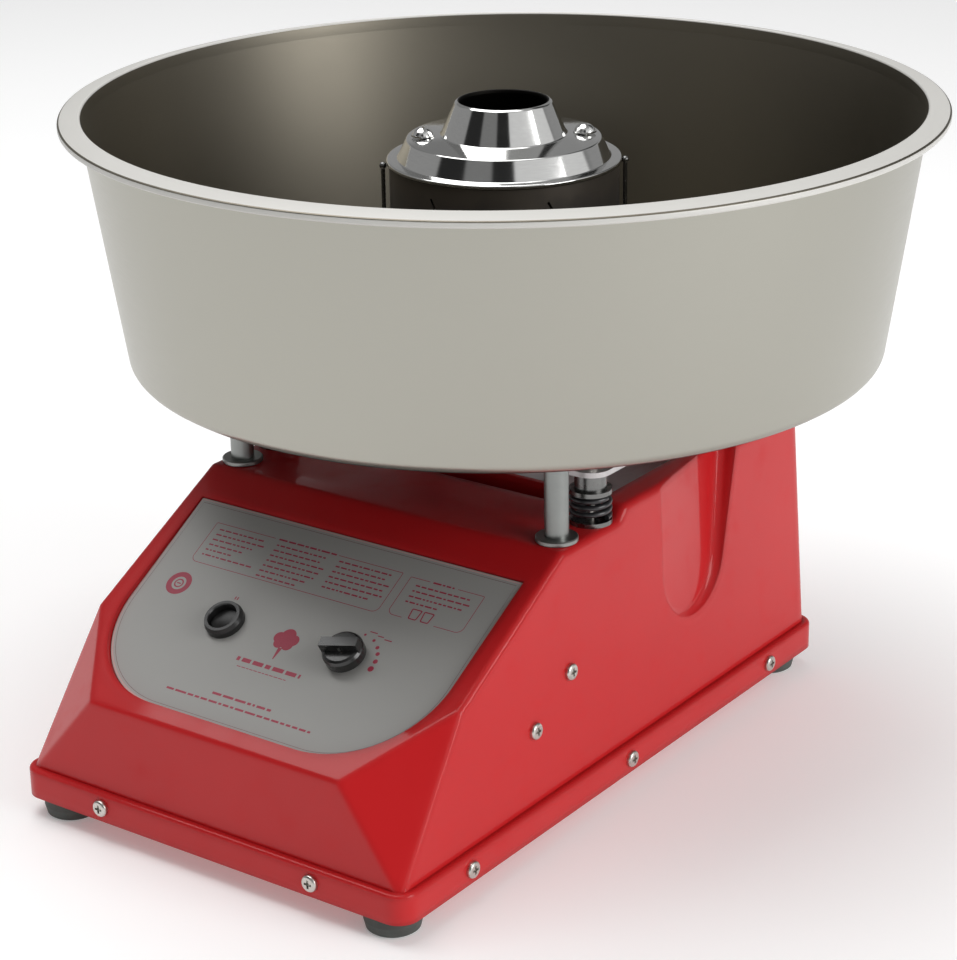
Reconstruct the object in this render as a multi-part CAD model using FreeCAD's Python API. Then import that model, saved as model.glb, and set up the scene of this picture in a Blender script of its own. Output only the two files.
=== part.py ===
import FreeCAD, Part
import math
import os

V = FreeCAD.Vector

# Cotton candy machine.  Millimetres, +Z up, +Y to the rear, operator at -Y.
# Origin: on the table top, under the middle of the machine's whole plan outline.

# ---- driving dimensions -------------------------------------------------
spindleY = 17.0                 # the vertical spin axis stands at X 0, Y 17

trayWidth = 268.0
trayFrontY = -267.0
trayRearY = 156.0
trayBottomZ = 12.0
trayRimZ = 29.0
trayCornerR = 12.0
trayWall = 4.3
trayFloor = 2.5

footR = 15.7
footHeight = 12.0
footX = 113.0
footFrontY = -249.0
footRearY = 134.0

shellHalfWidth = 129.5          # at the tray rim
shellFrontY = -262.5
shellRearY = 151.5
shellDraft = 0.042              # side walls lean inwards, per unit of height
shellWall = 3.0
shellFootZ = 16.0               # the wall's lower edge, down inside the tray
deckZ = 161.0                   # front deck
cheekZ = 168.0                  # side cheeks and rear deck
deckFrontY = -107.0
stepStartY = -52.0
stepEndY = -45.0
noseY = -257.5                  # fold between the front face and the slope
noseZ = 78.0

wellHalfWidth = 106.5           # open well that the motor hangs in
wellFrontY = -25.0
wellRearY = 79.0
wellFloorZ = 148.0
wellLedge = 8.0

panelSlope = 30.2               # degrees from level
panelTopY = -128.2              # upper edge of the control plate
panelTopZ = 148.4
plateHalfWidth = 112.0
plateDepth = 136.0
plateCornerR = 62.0
plateThickness = 1.0
plateGap = 0.6
controlX = 42.5                 # switch at -X, knob at +X
controlV = -74.0                # down the slope from the plate's upper edge

gripFrontY = -13.5              # side grip scoops: upright front edge, round bottom, leaning rear edge
gripR = 34.3
gripBottomZ = 79.0
gripRearLean = 15.8             # degrees
gripSlopeLow = 0.055            # the floor sinks this much per unit towards the rear, low down
gripSlopeHigh = 0.175           # and high up
gripFillet = 5.0

postX = 110.5
postFrontY = spindleY - 111.0
postRearY = spindleY + 105.0
postR = 6.7
postFlangeR = 11.8
postFlangeHeight = 3.0
pegR = 3.0
pegHeight = 7.0

mountX = 110.5
mountOffsetY = 78.0
mountWasherR = 12.0
mountWasherHeight = 2.5
springR = 12.0
springWireR = 1.6
springHeight = 15.0
springTurns = 3
sleeveR = 9.0
carrierZ = 191.0
carrierThickness = 3.0

bowlFloorZ = 222.0
bowlFloorR = 217.6
bowlTopR = 238.7
bowlRimZ = 368.0
bowlRimR = 250.0
bowlSheet = 1.2
bowlCornerR = 7.0
bowlHoleR = 80.0
bowlCollarHeight = 26.0

motorR = 38.0
motorBottomZ = 108.0
motorClear = 2.5                # round the motor, in the well
motorScrewR = 27.0
statorR = motorR - 2.52
rotorR = 19.0
bearingR = 10.0
shaftR = 6.0
shaftTopZ = 303.0
ringR = 20.0
ringHeights = (212.0, 228.0)
ringWidth = 8.0
brushX = ringR + 0.15
coverR = 58.0
coverTopZ = 280.0

headBaseZ = 286.0
headR = 65.5
capFlangeZ = 331.5
capTopZ = 366.5
bandSlots = 6
bandPhase = 33.0
heaterR = 57.0
heaterTubeR = 3.0
heaterHeights = (300.0, 309.0, 318.0)
rodAngles = (38.0, 218.0)       # side rods and cap screws stand at these angles
rodRingR = 69.0
rodR = 1.2
capScrewR = 46.0

knobR = 11.7
knobHeight = 15.0
knobRestAngle = 16.0            # the pointer stands at a medium setting
potShaftR = 3.0
potBushR = 3.6
switchBarrelR = 9.8
rockerR = 7.6
rockerPivot = 0.5               # height of the tipping axis above the plate
rockerTilt = 8.0
rockerPinR = 1.0
rockerPinHalf = 9.2             # from the rocker's centre to a pin's end

boltR = 2.5
screwR = 2.0
screwHeadR = 4.8
screwHeadHeight = 2.6
skirtScrewZ = 20.5
skirtScrewPitch = 153.0
skirtScrewX = 73.4
sideScrews = [(-106.0, 92.0), (-141.0, 71.0)]
glandX = 70.0
glandZ = 55.0
glandR = 8.0
glandBoreR = 4.2
ventRows = 7
ventPitch = 11.0
ventX = 55.0
boardZ = 60.5
boardThickness = 1.6
standoffHeight = 6.0
boardMidY = -123.5
boardHalfX = 62.0
boardHalfY = 20.0

runGap = 0.05                   # radial running clearance of shafts in bores
gap = 0.3                       # between pieces of different bodies
seat = 0.02                     # screw shanks in their holes
outlineShiftY = 1.3             # puts the middle of the plan outline over the origin at export

solids = {}


# ---- helpers ------------------------------------------------------------
def box(x0, x1, y0, y1, z0, z1):
    return Part.makeBox(x1 - x0, y1 - y0, z1 - z0, V(x0, y0, z0))


def rod(r, x, y, z0, z1):
    return Part.makeCylinder(r, z1 - z0, V(x, y, z0))


def rodAlong(r, start, end):
    axis = V(*end) - V(*start)
    return Part.makeCylinder(r, axis.Length, V(*start), axis)


def ring(outer, inner, x, y, z0, z1):
    return rod(outer, x, y, z0, z1).cut(rod(inner, x, y, z0 - 1, z1 + 1))


def turned(points, x=0.0, y=spindleY):
    """Solid of revolution about the vertical line through x, y from (radius, height) points."""
    wire = Part.makePolygon([V(r, 0, z) for r, z in points + points[:1]])
    body = Part.Face(wire).revolve(V(0, 0, 0), V(0, 0, 1), 360)
    body.translate(V(x, y, 0))
    return body


def acrossX(points, x0, x1):
    """Prism along X from (y, z) points."""
    wire = Part.makePolygon([V(x0, y, z) for y, z in points + points[:1]])
    return Part.Face(wire).extrude(V(x1 - x0, 0, 0))


def roundedBox(x0, x1, y0, y1, z0, z1, r):
    block = box(x0, x1, y0, y1, z0, z1)
    return block.makeFillet(r, [e for e in block.Edges if isVertical(e)])


def isVertical(edge):
    a, b = edge.Vertexes[0].Point, edge.Vertexes[-1].Point
    return abs(a.x - b.x) < 1e-6 and abs(a.y - b.y) < 1e-6


def fused(shapes):
    result = shapes[0].fuse(shapes[1:]) if len(shapes) > 1 else shapes[0]
    return result.removeSplitter()


def mirroredX(shape):
    return shape.mirror(V(0, 0, 0), V(1, 0, 0))


def group(shapes):
    return Part.makeCompound(shapes)


def onPanel(shape):
    """Carry a shape from the control plate's own frame (X across, Y up the slope, Z out) to its place."""
    placed = shape.copy()
    placed.rotate(V(0, 0, 0), V(1, 0, 0), panelSlope)
    placed.translate(V(0, panelTopY, panelTopZ))
    return placed


def plateOutline(margin):
    """Face with a straight upper edge, straight sides and two large lower corners."""
    w = plateHalfWidth + margin
    low = -plateDepth - margin
    r = plateCornerR + margin
    k = r * math.sqrt(0.5)
    cx, cy = w - r, low + r
    edges = [
        Part.LineSegment(V(-w, margin, 0), V(-w, cy, 0)).toShape(),
        Part.Arc(V(-w, cy, 0), V(-cx - k, cy - k, 0), V(-cx, low, 0)).toShape(),
        Part.LineSegment(V(-cx, low, 0), V(cx, low, 0)).toShape(),
        Part.Arc(V(cx, low, 0), V(cx + k, cy - k, 0), V(w, cy, 0)).toShape(),
        Part.LineSegment(V(w, cy, 0), V(w, margin, 0)).toShape(),
        Part.LineSegment(V(w, margin, 0), V(-w, margin, 0)).toShape(),
    ]
    return Part.Face(Part.Wire(edges))


def panHeadScrew(headR, headHeight, shankR, length):
    """Screw along +Z with its head above Z 0, a domed top and a cross recess."""
    dome = Part.makeCylinder(headR, headHeight)
    dome = dome.makeFillet(headHeight * 0.6, [dome.Edges[0]])
    shank = Part.makeCylinder(shankR, length, V(0, 0, -length))
    slotHalf, slotWidth = headR * 0.5, headR * 0.14
    recess = fused([
        box(-slotHalf, slotHalf, -slotWidth, slotWidth, headHeight * 0.45, headHeight + 1),
        box(-slotWidth, slotWidth, -slotHalf, slotHalf, headHeight * 0.45, headHeight + 1)])
    return dome.fuse(shank).cut(recess).removeSplitter()


def aimed(shape, at, direction):
    """Place a shape that was built along +Z at a point, turned to face a direction."""
    placed = shape.copy()
    placed.Placement = FreeCAD.Placement(V(*at), FreeCAD.Rotation(V(0, 0, 1), V(*direction)))
    return placed


def helixSpring(x, y, z0, z1, outerR, wireR, turns):
    """Compression spring of round wire that just fits between two heights."""
    meanR = outerR - wireR
    height = z1 - z0 - 2 * wireR - 0.1
    path = Part.makeHelix(height / turns, height, meanR)
    start = Part.Wire(Part.makeCircle(wireR, V(meanR, 0, 0), V(0, 1, 0)))
    coil = Part.Wire(path).makePipeShell([start], True, True)
    coil.translate(V(x, y, z0 + wireR + 0.05))
    return coil


# ---- body shell ---------------------------------------------------------
def leaningBlock(inset):
    """Block with leaning sides and rear that bounds the shell's plan."""
    def section(z):
        lean = (z - trayRimZ) * shellDraft
        x = shellHalfWidth - inset - lean
        y = shellRearY - inset - lean
        return Part.makePolygon([V(-x, -300, z), V(x, -300, z), V(x, y, z), V(-x, y, z), V(-x, -300, z)])
    return Part.makeLoft([section(trayRimZ), section(cheekZ + 20)], True, True)


def sideProfile(inset):
    """The shell's outline seen from the side, above the tray rim."""
    slopeRise = (deckZ - noseZ) / (deckFrontY - noseY)
    normal = math.hypot(1, slopeRise)
    drop = inset * normal
    return [
        (shellFrontY + inset, trayRimZ),
        (noseY + inset, noseZ - drop + inset * slopeRise),
        (deckFrontY + inset * 0.27, deckZ - inset),
        (stepStartY + inset * 0.4, deckZ - inset),
        (stepEndY + inset * 0.4, cheekZ - inset),
        (shellRearY + 20, cheekZ - inset),
        (shellRearY + 20, trayRimZ)]


def cornerCutter(side, inset):
    """Half-space beyond the flat facet on a front corner."""
    slopeRise = (deckZ - noseZ) / (deckFrontY - noseY)
    low = V(side * 128.5, shellFrontY, trayRimZ - 3)
    upper = V(side * 125.0, -203.0, noseZ + (-203.0 - noseY) * slopeRise)
    inner = V(side * 100.5, -236.5, noseZ + (-236.5 - noseY) * slopeRise)
    normal = (upper - low).cross(inner - low)
    normal.normalize()
    if normal.y > 0:
        normal = normal.negative()
    slab = Part.makeBox(400, 400, 200, V(-200, -200, 0))
    slab.Placement = FreeCAD.Placement(low - normal * inset, FreeCAD.Rotation(V(0, 0, 1), normal))
    return slab


def shellBlock(inset):
    block = leaningBlock(inset).common(acrossX(sideProfile(inset), -200, 200))
    for side in (-1, 1):
        block = block.cut(cornerCutter(side, inset))
    return block.removeSplitter()


def softened(block):
    """Round the rear corners, the facet and slope edges, and the top edges."""
    def rearUpright(e):
        a, b = e.Vertexes[0].Point, e.Vertexes[-1].Point
        return abs(a.z - b.z) > 50 and min(a.y, b.y) > 100
    block = block.makeFillet(8.0, [e for e in block.Edges if rearUpright(e)])

    def aboveRim(e):
        heights = [v.Point.z for v in e.Vertexes]
        return max(heights) > trayRimZ + 6 and not rearUpright(e)
    return block.makeFillet(4.0, [e for e in block.Edges if aboveRim(e)])


def gripScoop(side, margin):
    """Hand grip: flush at the front, deepest along its leaning rear wall, round at the bottom."""
    r = gripR + margin
    midY, midZ = gripFrontY + gripR, gripBottomZ + gripR
    lean = math.radians(gripRearLean)
    topZ = cheekZ + 30
    rearLow = V(0, midY + r * math.cos(lean), midZ - r * math.sin(lean))
    rearTop = V(0, rearLow.y + (topZ - rearLow.z) * math.tan(lean), topZ)
    frontLow, frontTop = V(0, midY - r, midZ), V(0, midY - r, topZ)
    bottom = V(0, midY, midZ - r)
    outline = [
        Part.LineSegment(frontTop, frontLow).toShape(),
        Part.Arc(frontLow, bottom, rearLow).toShape(),
        Part.LineSegment(rearLow, rearTop).toShape(),
        Part.LineSegment(rearTop, frontTop).toShape()]
    column = Part.Face(Part.Wire(outline)).extrude(V(200, 0, 0))

    def section(z, slope):
        x = shellHalfWidth - (z - trayRimZ) * shellDraft - margin
        sink = 140 * slope
        return Part.makePolygon([V(x, gripFrontY, z), V(200, gripFrontY, z), V(200, gripFrontY + 140, z),
                                 V(x - sink, gripFrontY + 140, z), V(x, gripFrontY, z)])
    wedge = Part.makeLoft([section(trayRimZ, gripSlopeLow), section(topZ + 10, gripSlopeHigh)], True, True)
    scoop = column.common(wedge)

    def rearCorner(e):
        a, b = e.Vertexes[0].Point, e.Vertexes[-1].Point
        return abs(a.z - b.z) > 50 and min(a.y, b.y) > midY and max(a.x, b.x) < 130
    scoop = scoop.makeFillet(gripFillet, [e for e in scoop.Edges if rearCorner(e)])
    return scoop if side > 0 else mirroredX(scoop)


def makeShell():
    outer = softened(shellBlock(0))
    skirt = roundedBox(-shellHalfWidth, shellHalfWidth, shellFrontY, shellRearY,
                       shellFootZ, trayRimZ + 0.01, 7.5)
    outer = outer.fuse(skirt)
    cavity = shellBlock(shellWall)
    low = shellWall + 0.5
    cavity = cavity.fuse(roundedBox(-shellHalfWidth + low, shellHalfWidth - low, shellFrontY + low,
                                    shellRearY - low, shellFootZ - 1, trayRimZ + 1, 5.0))
    wellOuter = box(-wellHalfWidth - shellWall, wellHalfWidth + shellWall, wellFrontY - shellWall,
                    wellRearY + shellWall, wellFloorZ - shellWall, cheekZ + 1)
    cavity = cavity.cut(wellOuter)
    for side in (-1, 1):
        cavity = cavity.cut(gripScoop(side, shellWall))
    recessFloor = plateOutline(shellWall + 2).extrude(V(0, 0, 40))
    recessFloor.translate(V(0, 0, -plateThickness - shellWall))
    cavity = cavity.cut(onPanel(recessFloor))

    shell = outer.cut(cavity)
    for side in (-1, 1):
        shell = shell.cut(gripScoop(side, 0))
    shell = shell.cut(box(-wellHalfWidth, wellHalfWidth, wellFrontY, wellRearY, wellFloorZ, cheekZ + 1))
    shell = shell.cut(box(-wellHalfWidth + wellLedge, wellHalfWidth - wellLedge, wellFrontY + wellLedge,
                          wellRearY - wellLedge, wellFloorZ - 10, cheekZ + 1))
    shell = shell.cut(box(-wellHalfWidth, wellHalfWidth, stepStartY - 1, wellFrontY + 1, deckZ, cheekZ + 1))
    shell = shell.cut(rod(motorR + motorClear, 0, spindleY, wellFloorZ - 10, cheekZ + 1))
    for x, y, top in mountPlaces():
        shell = shell.cut(rod(mountWasherR + gap, x, y, top, cheekZ + 1))
    recess = plateOutline(plateGap).extrude(V(0, 0, 40))
    recess.translate(V(0, 0, -plateThickness))
    shell = shell.cut(onPanel(recess))
    shell = shell.cut(onPanel(rod(switchBarrelR + 0.3, -controlX, controlV, -20, 5)))
    shell = shell.cut(onPanel(rod(potBushR + 0.3, controlX, controlV, -20, 5)))
    for x, y, top in postPlaces() + mountPlaces():
        shell = shell.cut(rod(boltR + 0.2, x, y, top - 12, top + 5))
    for at, direction in skirtScrewPlaces() + sideScrewPlaces():
        start = V(*at) - V(*direction) * 14
        shell = shell.cut(rodAlong(screwR + seat, tuple(start), at))
    glandHole = rodAlong(glandR + 0.2, (glandX, shellRearY - 20, glandZ), (glandX, shellRearY + 5, glandZ))
    return shell.cut(glandHole)


# ---- places of repeated pieces ------------------------------------------
def postPlaces():
    return [(side * postX, y, z) for y, z in ((postFrontY, deckZ), (postRearY, cheekZ)) for side in (-1, 1)]


def mountPlaces():
    return [(side * mountX, spindleY + fore * mountOffsetY, z)
            for fore, z in ((-1, deckZ), (1, cheekZ)) for side in (-1, 1)]


def footPlaces():
    return [(side * footX, y) for y in (footFrontY, footRearY) for side in (-1, 1)]


def skirtScrewPlaces():
    """Points on the tray's outer faces, with the directions they face."""
    places = []
    for side in (-1, 1):
        places.append(((side * skirtScrewX, trayFrontY, skirtScrewZ), (0, -1, 0)))
        places.append(((side * skirtScrewX, trayRearY, skirtScrewZ), (0, 1, 0)))
        for step in (-1, 0, 1):
            y = (trayFrontY + trayRearY) / 2 + step * skirtScrewPitch
            places.append(((side * trayWidth / 2, y, skirtScrewZ), (side, 0, 0)))
    return places


def sideScrewPlaces():
    """Points on the leaning side walls, with the walls' outward directions."""
    places = []
    for side in (-1, 1):
        for y, z in sideScrews:
            x = shellHalfWidth - (z - trayRimZ) * shellDraft
            places.append(((side * x, y, z), (side, 0, shellDraft)))
    return places


# ---- base tray and feet -------------------------------------------------
def makeTray():
    half = trayWidth / 2
    block = roundedBox(-half, half, trayFrontY, trayRearY, trayBottomZ, trayRimZ, trayCornerR)
    rim = [e for e in block.Edges if min(v.Point.z for v in e.Vertexes) > trayRimZ - 0.1]
    block = block.makeFillet(2.2, rim)
    inner = half - trayWall
    hollow = roundedBox(-inner, inner, trayFrontY + trayWall, trayRearY - trayWall,
                        trayBottomZ + trayFloor, trayRimZ + 1, trayCornerR - trayWall)
    tray = block.cut(hollow)
    slot = roundedSlot(40, 5)
    for column in (-1, 1):
        for row in range(ventRows):
            y = spindleY + (row - (ventRows - 1) / 2) * ventPitch
            tray = tray.cut(slot.translated(V(column * ventX, y, trayBottomZ - 1)))
    for x, y in footPlaces():
        tray = tray.cut(rod(boltR + seat, x, y, trayBottomZ - 1, trayBottomZ + trayFloor + 1))
    for at, direction in skirtScrewPlaces():
        start = V(*at) - V(*direction) * (trayWall + 1)
        tray = tray.cut(rodAlong(screwR + seat, tuple(start), tuple(V(*at) + V(*direction))))
    return tray


def roundedSlot(length, width):
    r = width / 2
    return fused([box(-length / 2 + r, length / 2 - r, -r, r, 0, 10),
                  rod(r, -length / 2 + r, 0, 0, 10), rod(r, length / 2 - r, 0, 0, 10)])


def makeFoot(x, y):
    outer = turned([(0, 0), (footR - 2.5, 0), (footR - 1.2, 1.0), (footR, 6.0), (footR - 0.6, footHeight),
                    (0, footHeight)], x, y)
    pocket = rod(5.2, x, y, -1, 5.0)
    return outer.cut(pocket).cut(rod(boltR + seat, x, y, 4, footHeight + 1))


def makeFootScrews():
    """Screws up through the feet, each with a nut on the tray floor."""
    shapes = []
    for x, y in footPlaces():
        nutZ = trayBottomZ + trayFloor
        screw = aimed(panHeadScrew(4.6, 2.8, boltR, nutZ + 3.4), (x, y, 5.0), (0, 0, -1))
        nut = hexPrism(4.4, x, y, nutZ, nutZ + 4)
        shapes.append(screw.fuse(nut).removeSplitter())
    return group(shapes)


def hexPrism(flatHalf, x, y, z0, z1):
    r = flatHalf / math.cos(math.pi / 6)
    points = [V(x + r * math.cos(a * math.pi / 3), y + r * math.sin(a * math.pi / 3), z0) for a in range(6)]
    return Part.Face(Part.makePolygon(points + points[:1])).extrude(V(0, 0, z1 - z0))


# ---- fasteners ----------------------------------------------------------
def makeSkirtScrews():
    screw = panHeadScrew(screwHeadR, screwHeadHeight, screwR, 11.0)
    return group([aimed(screw, at, direction) for at, direction in skirtScrewPlaces()])


def makeSideScrews():
    screw = panHeadScrew(screwHeadR, screwHeadHeight, screwR, 9.0)
    return group([aimed(screw, at, direction) for at, direction in sideScrewPlaces()])


# ---- bowl supports and spring mounts ------------------------------------
def makePost(x, y, z):
    """Turned post with a foot flange, a locating peg on top and a threaded bore below."""
    post = turned([(0, z), (postFlangeR - 0.4, z), (postFlangeR, z + 0.5),
                   (postFlangeR, z + postFlangeHeight - 0.6), (postFlangeR - 0.6, z + postFlangeHeight),
                   (postR, z + postFlangeHeight), (postR, bowlFloorZ - 0.4), (postR - 0.4, bowlFloorZ),
                   (pegR, bowlFloorZ), (pegR, bowlFloorZ + pegHeight - 1),
                   (pegR - 1, bowlFloorZ + pegHeight), (0, bowlFloorZ + pegHeight)], x, y)
    return post.cut(rod(boltR + seat, x, y, z - 1, z + 16))


def makePostBolts():
    """Bolts up through the decks into the posts."""
    shapes = []
    for x, y, z in postPlaces():
        under = z - shellWall
        shank = rod(boltR, x, y, under, z + 14)
        head = hexPrism(4.0, x, y, under - 3.5, under)
        shapes.append(shank.fuse(head).removeSplitter())
    return group(shapes)


def washerStack(z):
    """Heights of one mount: washer, spring, sleeve flange, sleeve."""
    springLow = z + mountWasherHeight
    springHigh = springLow + springHeight
    return z, springLow, springHigh, springHigh + mountWasherHeight


def makeLowerWashers():
    return group([ring(mountWasherR, boltR + 0.2, x, y, z, washerStack(z)[1]) for x, y, z in mountPlaces()])


def makeSleeves():
    """Flanged sleeves that sit on the springs and slide on the studs, under the carrier."""
    shapes = []
    for x, y, z in mountPlaces():
        flange, top = washerStack(z)[2:]
        bore = boltR + runGap
        collar = ring(mountWasherR, bore, x, y, flange, top)
        shapes.append(collar.fuse(ring(sleeveR, bore, x, y, top, carrierZ)))
    return group([s.removeSplitter() for s in shapes])


def makeSprings(fore):
    shapes = []
    for x, y, z in mountPlaces():
        if (y > spindleY) == (fore > 0):
            low, high = washerStack(z)[1:3]
            shapes.append(helixSpring(x, y, low, high, springR, springWireR, springTurns))
    return group(shapes)


def makeMountBolts():
    """Studs from the decks up through springs and carrier, with lock nuts that stop the upward travel."""
    shapes = []
    for x, y, z in mountPlaces():
        under = z - shellWall
        top = carrierZ + carrierThickness
        shapes.append(fused([rod(boltR, x, y, under, top + 7),
                             hexPrism(4.0, x, y, under - 3.5, under),
                             hexPrism(4.0, x, y, top, top + 5)]))
    return group(shapes)


# ---- motor on its carrier -----------------------------------------------
def makeCarrier():
    x, y = mountX + 13, mountOffsetY + 13
    plate = roundedBox(-x, x, spindleY - y, spindleY + y, carrierZ, carrierZ + carrierThickness, 12)
    for side in (-1, 1):
        waist = roundedBox(side * 160 - 70, side * 160 + 70, spindleY - 52, spindleY + 52, carrierZ - 1,
                           carrierZ + carrierThickness + 1, 15)
        plate = plate.cut(waist)
    for px, py, _ in mountPlaces():
        plate = plate.cut(rod(boltR + runGap, px, py, carrierZ - 1, carrierZ + 10))
    plate = plate.cut(rod(22.5, 0, spindleY, carrierZ - 1, carrierZ + 10))
    for px, py in motorScrewPlaces():
        plate = plate.cut(rod(screwR + seat, px, py, carrierZ - 1, carrierZ + 10))
    return plate


def motorScrewPlaces():
    return [(motorScrewR * math.cos(a), spindleY + motorScrewR * math.sin(a))
            for a in (math.pi / 4 + k * math.pi / 2 for k in range(4))]


def makeMotorHousing():
    """Drawn can, closed above around the upper bearing and open below."""
    wall = 2.5
    inner = motorR - wall
    seatR = bearingR + 0.05
    can = turned([
        (seatR, carrierZ - 9), (14, carrierZ - 9), (14, carrierZ - 4), (inner, carrierZ - 4),
        (inner, motorBottomZ), (motorR, motorBottomZ), (motorR, carrierZ - 3), (motorR - 3, carrierZ),
        (seatR, carrierZ)])
    for x, y in motorScrewPlaces():
        can = can.cut(rod(screwR + seat, x, y, carrierZ - 5, carrierZ + 1))
    return can


def makeMotorCover():
    """Lower end shield with the lower bearing seat and cooling slots."""
    z = motorBottomZ
    lip = motorR - 2.55
    seatR = bearingR + 0.05
    cover = turned([
        (seatR, z - 3), (motorR, z - 3), (motorR, z), (lip, z), (lip, z + 4), (motorR - 4.5, z + 4),
        (motorR - 4.5, z), (14, z), (14, z + 6), (seatR, z + 6)])
    for k in range(8):
        slot = box(16, 30, -2.5, 2.5, z - 4, z + 1)
        slot.rotate(V(0, 0, 0), V(0, 0, 1), 22.5 + 45 * k)
        cover = cover.cut(slot.translated(V(0, spindleY, 0)))
    return cover


def makeMotorScrews():
    """Screws down through the carrier into the motor's upper face."""
    screw = panHeadScrew(3.8, 2.4, screwR, carrierThickness + 3.6)
    z = carrierZ + carrierThickness
    return group([aimed(screw, (x, y, z), (0, 0, 1)) for x, y in motorScrewPlaces()])


def makeBearing(z0, z1):
    """Ball bearing shown as one ring with a shallow groove round each face."""
    bore = shaftR + runGap
    race = ring(bearingR, bore, 0, spindleY, z0, z1)
    for z in (z0 - 1, z1 - 0.5):
        race = race.cut(ring(8.6, 7.4, 0, spindleY, z, z + 1.5))
    return race


def makeStator():
    core = ring(statorR, rotorR + 0.6, 0, spindleY, 128, 170)
    for k in range(6):
        slot = box(rotorR + 4, statorR - 6, -4, 4, 120, 180)
        slot.rotate(V(0, 0, 0), V(0, 0, 1), 60 * k)
        core = core.cut(slot.translated(V(0, spindleY, 0)))
    return core


def makeWindings():
    """Enamelled coils lying in the stator's slots, with their ends turned over the core."""
    shapes = []
    for k in range(6):
        coil = box(rotorR + 4.5, statorR - 6.5, -3.5, 3.5, 124, 174)
        coil = coil.makeFillet(2.0, coil.Edges)
        coil.rotate(V(0, 0, 0), V(0, 0, 1), 60 * k)
        shapes.append(coil.translated(V(0, spindleY, 0)))
    return group(shapes)


def makeRotor():
    return turned([(shaftR, 130), (rotorR - 1, 130), (rotorR, 131), (rotorR, 167), (rotorR - 1, 168),
                   (shaftR, 168)])


def makeFan():
    """Cooling fan on the shaft's lower end: a disc with eight upright blades."""
    disc = ring(34, shaftR, 0, spindleY, 93, 95)
    hub = ring(11, shaftR, 0, spindleY, 88, 93)
    blades = []
    for k in range(8):
        blade = box(10, 33, -0.8, 0.8, 86, 93.5)
        blade.rotate(V(0, 0, 0), V(0, 0, 1), 45 * k)
        blades.append(blade.translated(V(0, spindleY, 0)))
    return fused([disc, hub] + blades)


def makeShaft():
    return turned([(0, 84), (shaftR - 0.8, 84), (shaftR, 84.8), (shaftR, shaftTopZ - 1),
                   (shaftR - 1, shaftTopZ), (0, shaftTopZ)])


# ---- slip rings under the head ------------------------------------------
def makeRingSleeve():
    """Insulating sleeve on the shaft, with two grooves for the rings."""
    low, high = 204.0, 244.0
    sleeve = ring(ringR - 1, shaftR, 0, spindleY, low, high)
    for z in ringHeights:
        sleeve = sleeve.cut(ring(ringR + 1, ringR - 4, 0, spindleY, z, z + ringWidth))
    return sleeve


def makeSlipRings():
    return group([ring(ringR, ringR - 4, 0, spindleY, z, z + ringWidth) for z in ringHeights])


def makeBrushHolder():
    """Insulating block on the carrier that guides one carbon brush to each ring."""
    block = box(ringR + 4, ringR + 26, spindleY - 8, spindleY + 8, carrierZ + carrierThickness, 244)
    block = block.makeFillet(1.5, [e for e in block.Edges if isVertical(e)])
    for z in ringHeights:
        block = block.cut(box(0, ringR + 20, spindleY - 3.02, spindleY + 3.02, z + 0.98, z + 7.02))
    return block


def makeBrushes():
    return group([box(brushX, ringR + 16, spindleY - 3, spindleY + 3, z + 1, z + 7) for z in ringHeights])


def makeCover():
    """Drip cover over the rings and brushes, a drawn can with a raised neck for the hub."""
    wall = 1.0
    base = carrierZ + carrierThickness
    return turned([
        (coverR - wall, base), (coverR + 6, base), (coverR + 6, base + wall), (coverR, base + wall),
        (coverR, coverTopZ - 12), (coverR - 12, coverTopZ), (24, coverTopZ), (24, coverTopZ - wall),
        (coverR - 12 - wall * 0.5, coverTopZ - wall), (coverR - wall, coverTopZ - 12.5)])


# ---- spinner head -------------------------------------------------------
def polar(r, degrees):
    a = math.radians(degrees)
    return r * math.cos(a), spindleY + r * math.sin(a)


def makeHeadBase():
    """Aluminium base disc and hub, with two ears for the side rods."""
    z = headBaseZ
    disc = turned([
        (shaftR, z - 22), (15, z - 22), (15, z - 2), (20, z), (headR + 0.5, z), (headR + 0.5, z + 2),
        (headR - 2, z + 2), (headR - 2, z + 4), (shaftR, z + 4)])
    for angle in rodAngles:
        x, y = polar(rodRingR, angle)
        ear = box(headR - 8, rodRingR, -3.5, 3.5, z, z + 2)
        ear.rotate(V(0, 0, 0), V(0, 0, 1), angle)
        disc = disc.fuse([ear.translated(V(0, spindleY, 0)), rod(3.5, x, y, z, z + 2)])
        disc = disc.cut(rod(rodR + seat, x, y, z - 1, z + 3))
    for angle in rodAngles:
        x, y = polar(capScrewR, angle)
        disc = disc.cut(rod(boltR + seat, x, y, z - 1, z + 5))
    return disc.removeSplitter()


def makeHeadNut():
    z = headBaseZ + 4
    return hexPrism(9.5, 0, spindleY, z, z + 7).cut(rod(shaftR, 0, spindleY, z - 1, z + 8))


def makeBand():
    """Thin band round the head, pierced by slanting slots that the melted sugar leaves through."""
    band = ring(headR, headR - 1.2, 0, spindleY, headBaseZ + 2, capFlangeZ)
    cutter = box(headR - 4, headR + 4, -0.7, 0.7, -15, 15)
    cutter.rotate(V(headR, 0, 0), V(1, 0, 0), 28)
    cutter.translate(V(0, 0, (headBaseZ + 2 + capFlangeZ) / 2))
    for k in range(bandSlots):
        slot = cutter.copy()
        slot.rotate(V(0, 0, 0), V(0, 0, 1), bandPhase + 360.0 * k / bandSlots)
        band = band.cut(slot.translated(V(0, spindleY, 0)))
    return band


def makeHeater():
    """Three rings of sheathed heating element."""
    return group([Part.makeTorus(heaterR, heaterTubeR, V(0, spindleY, z)) for z in heaterHeights])


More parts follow.
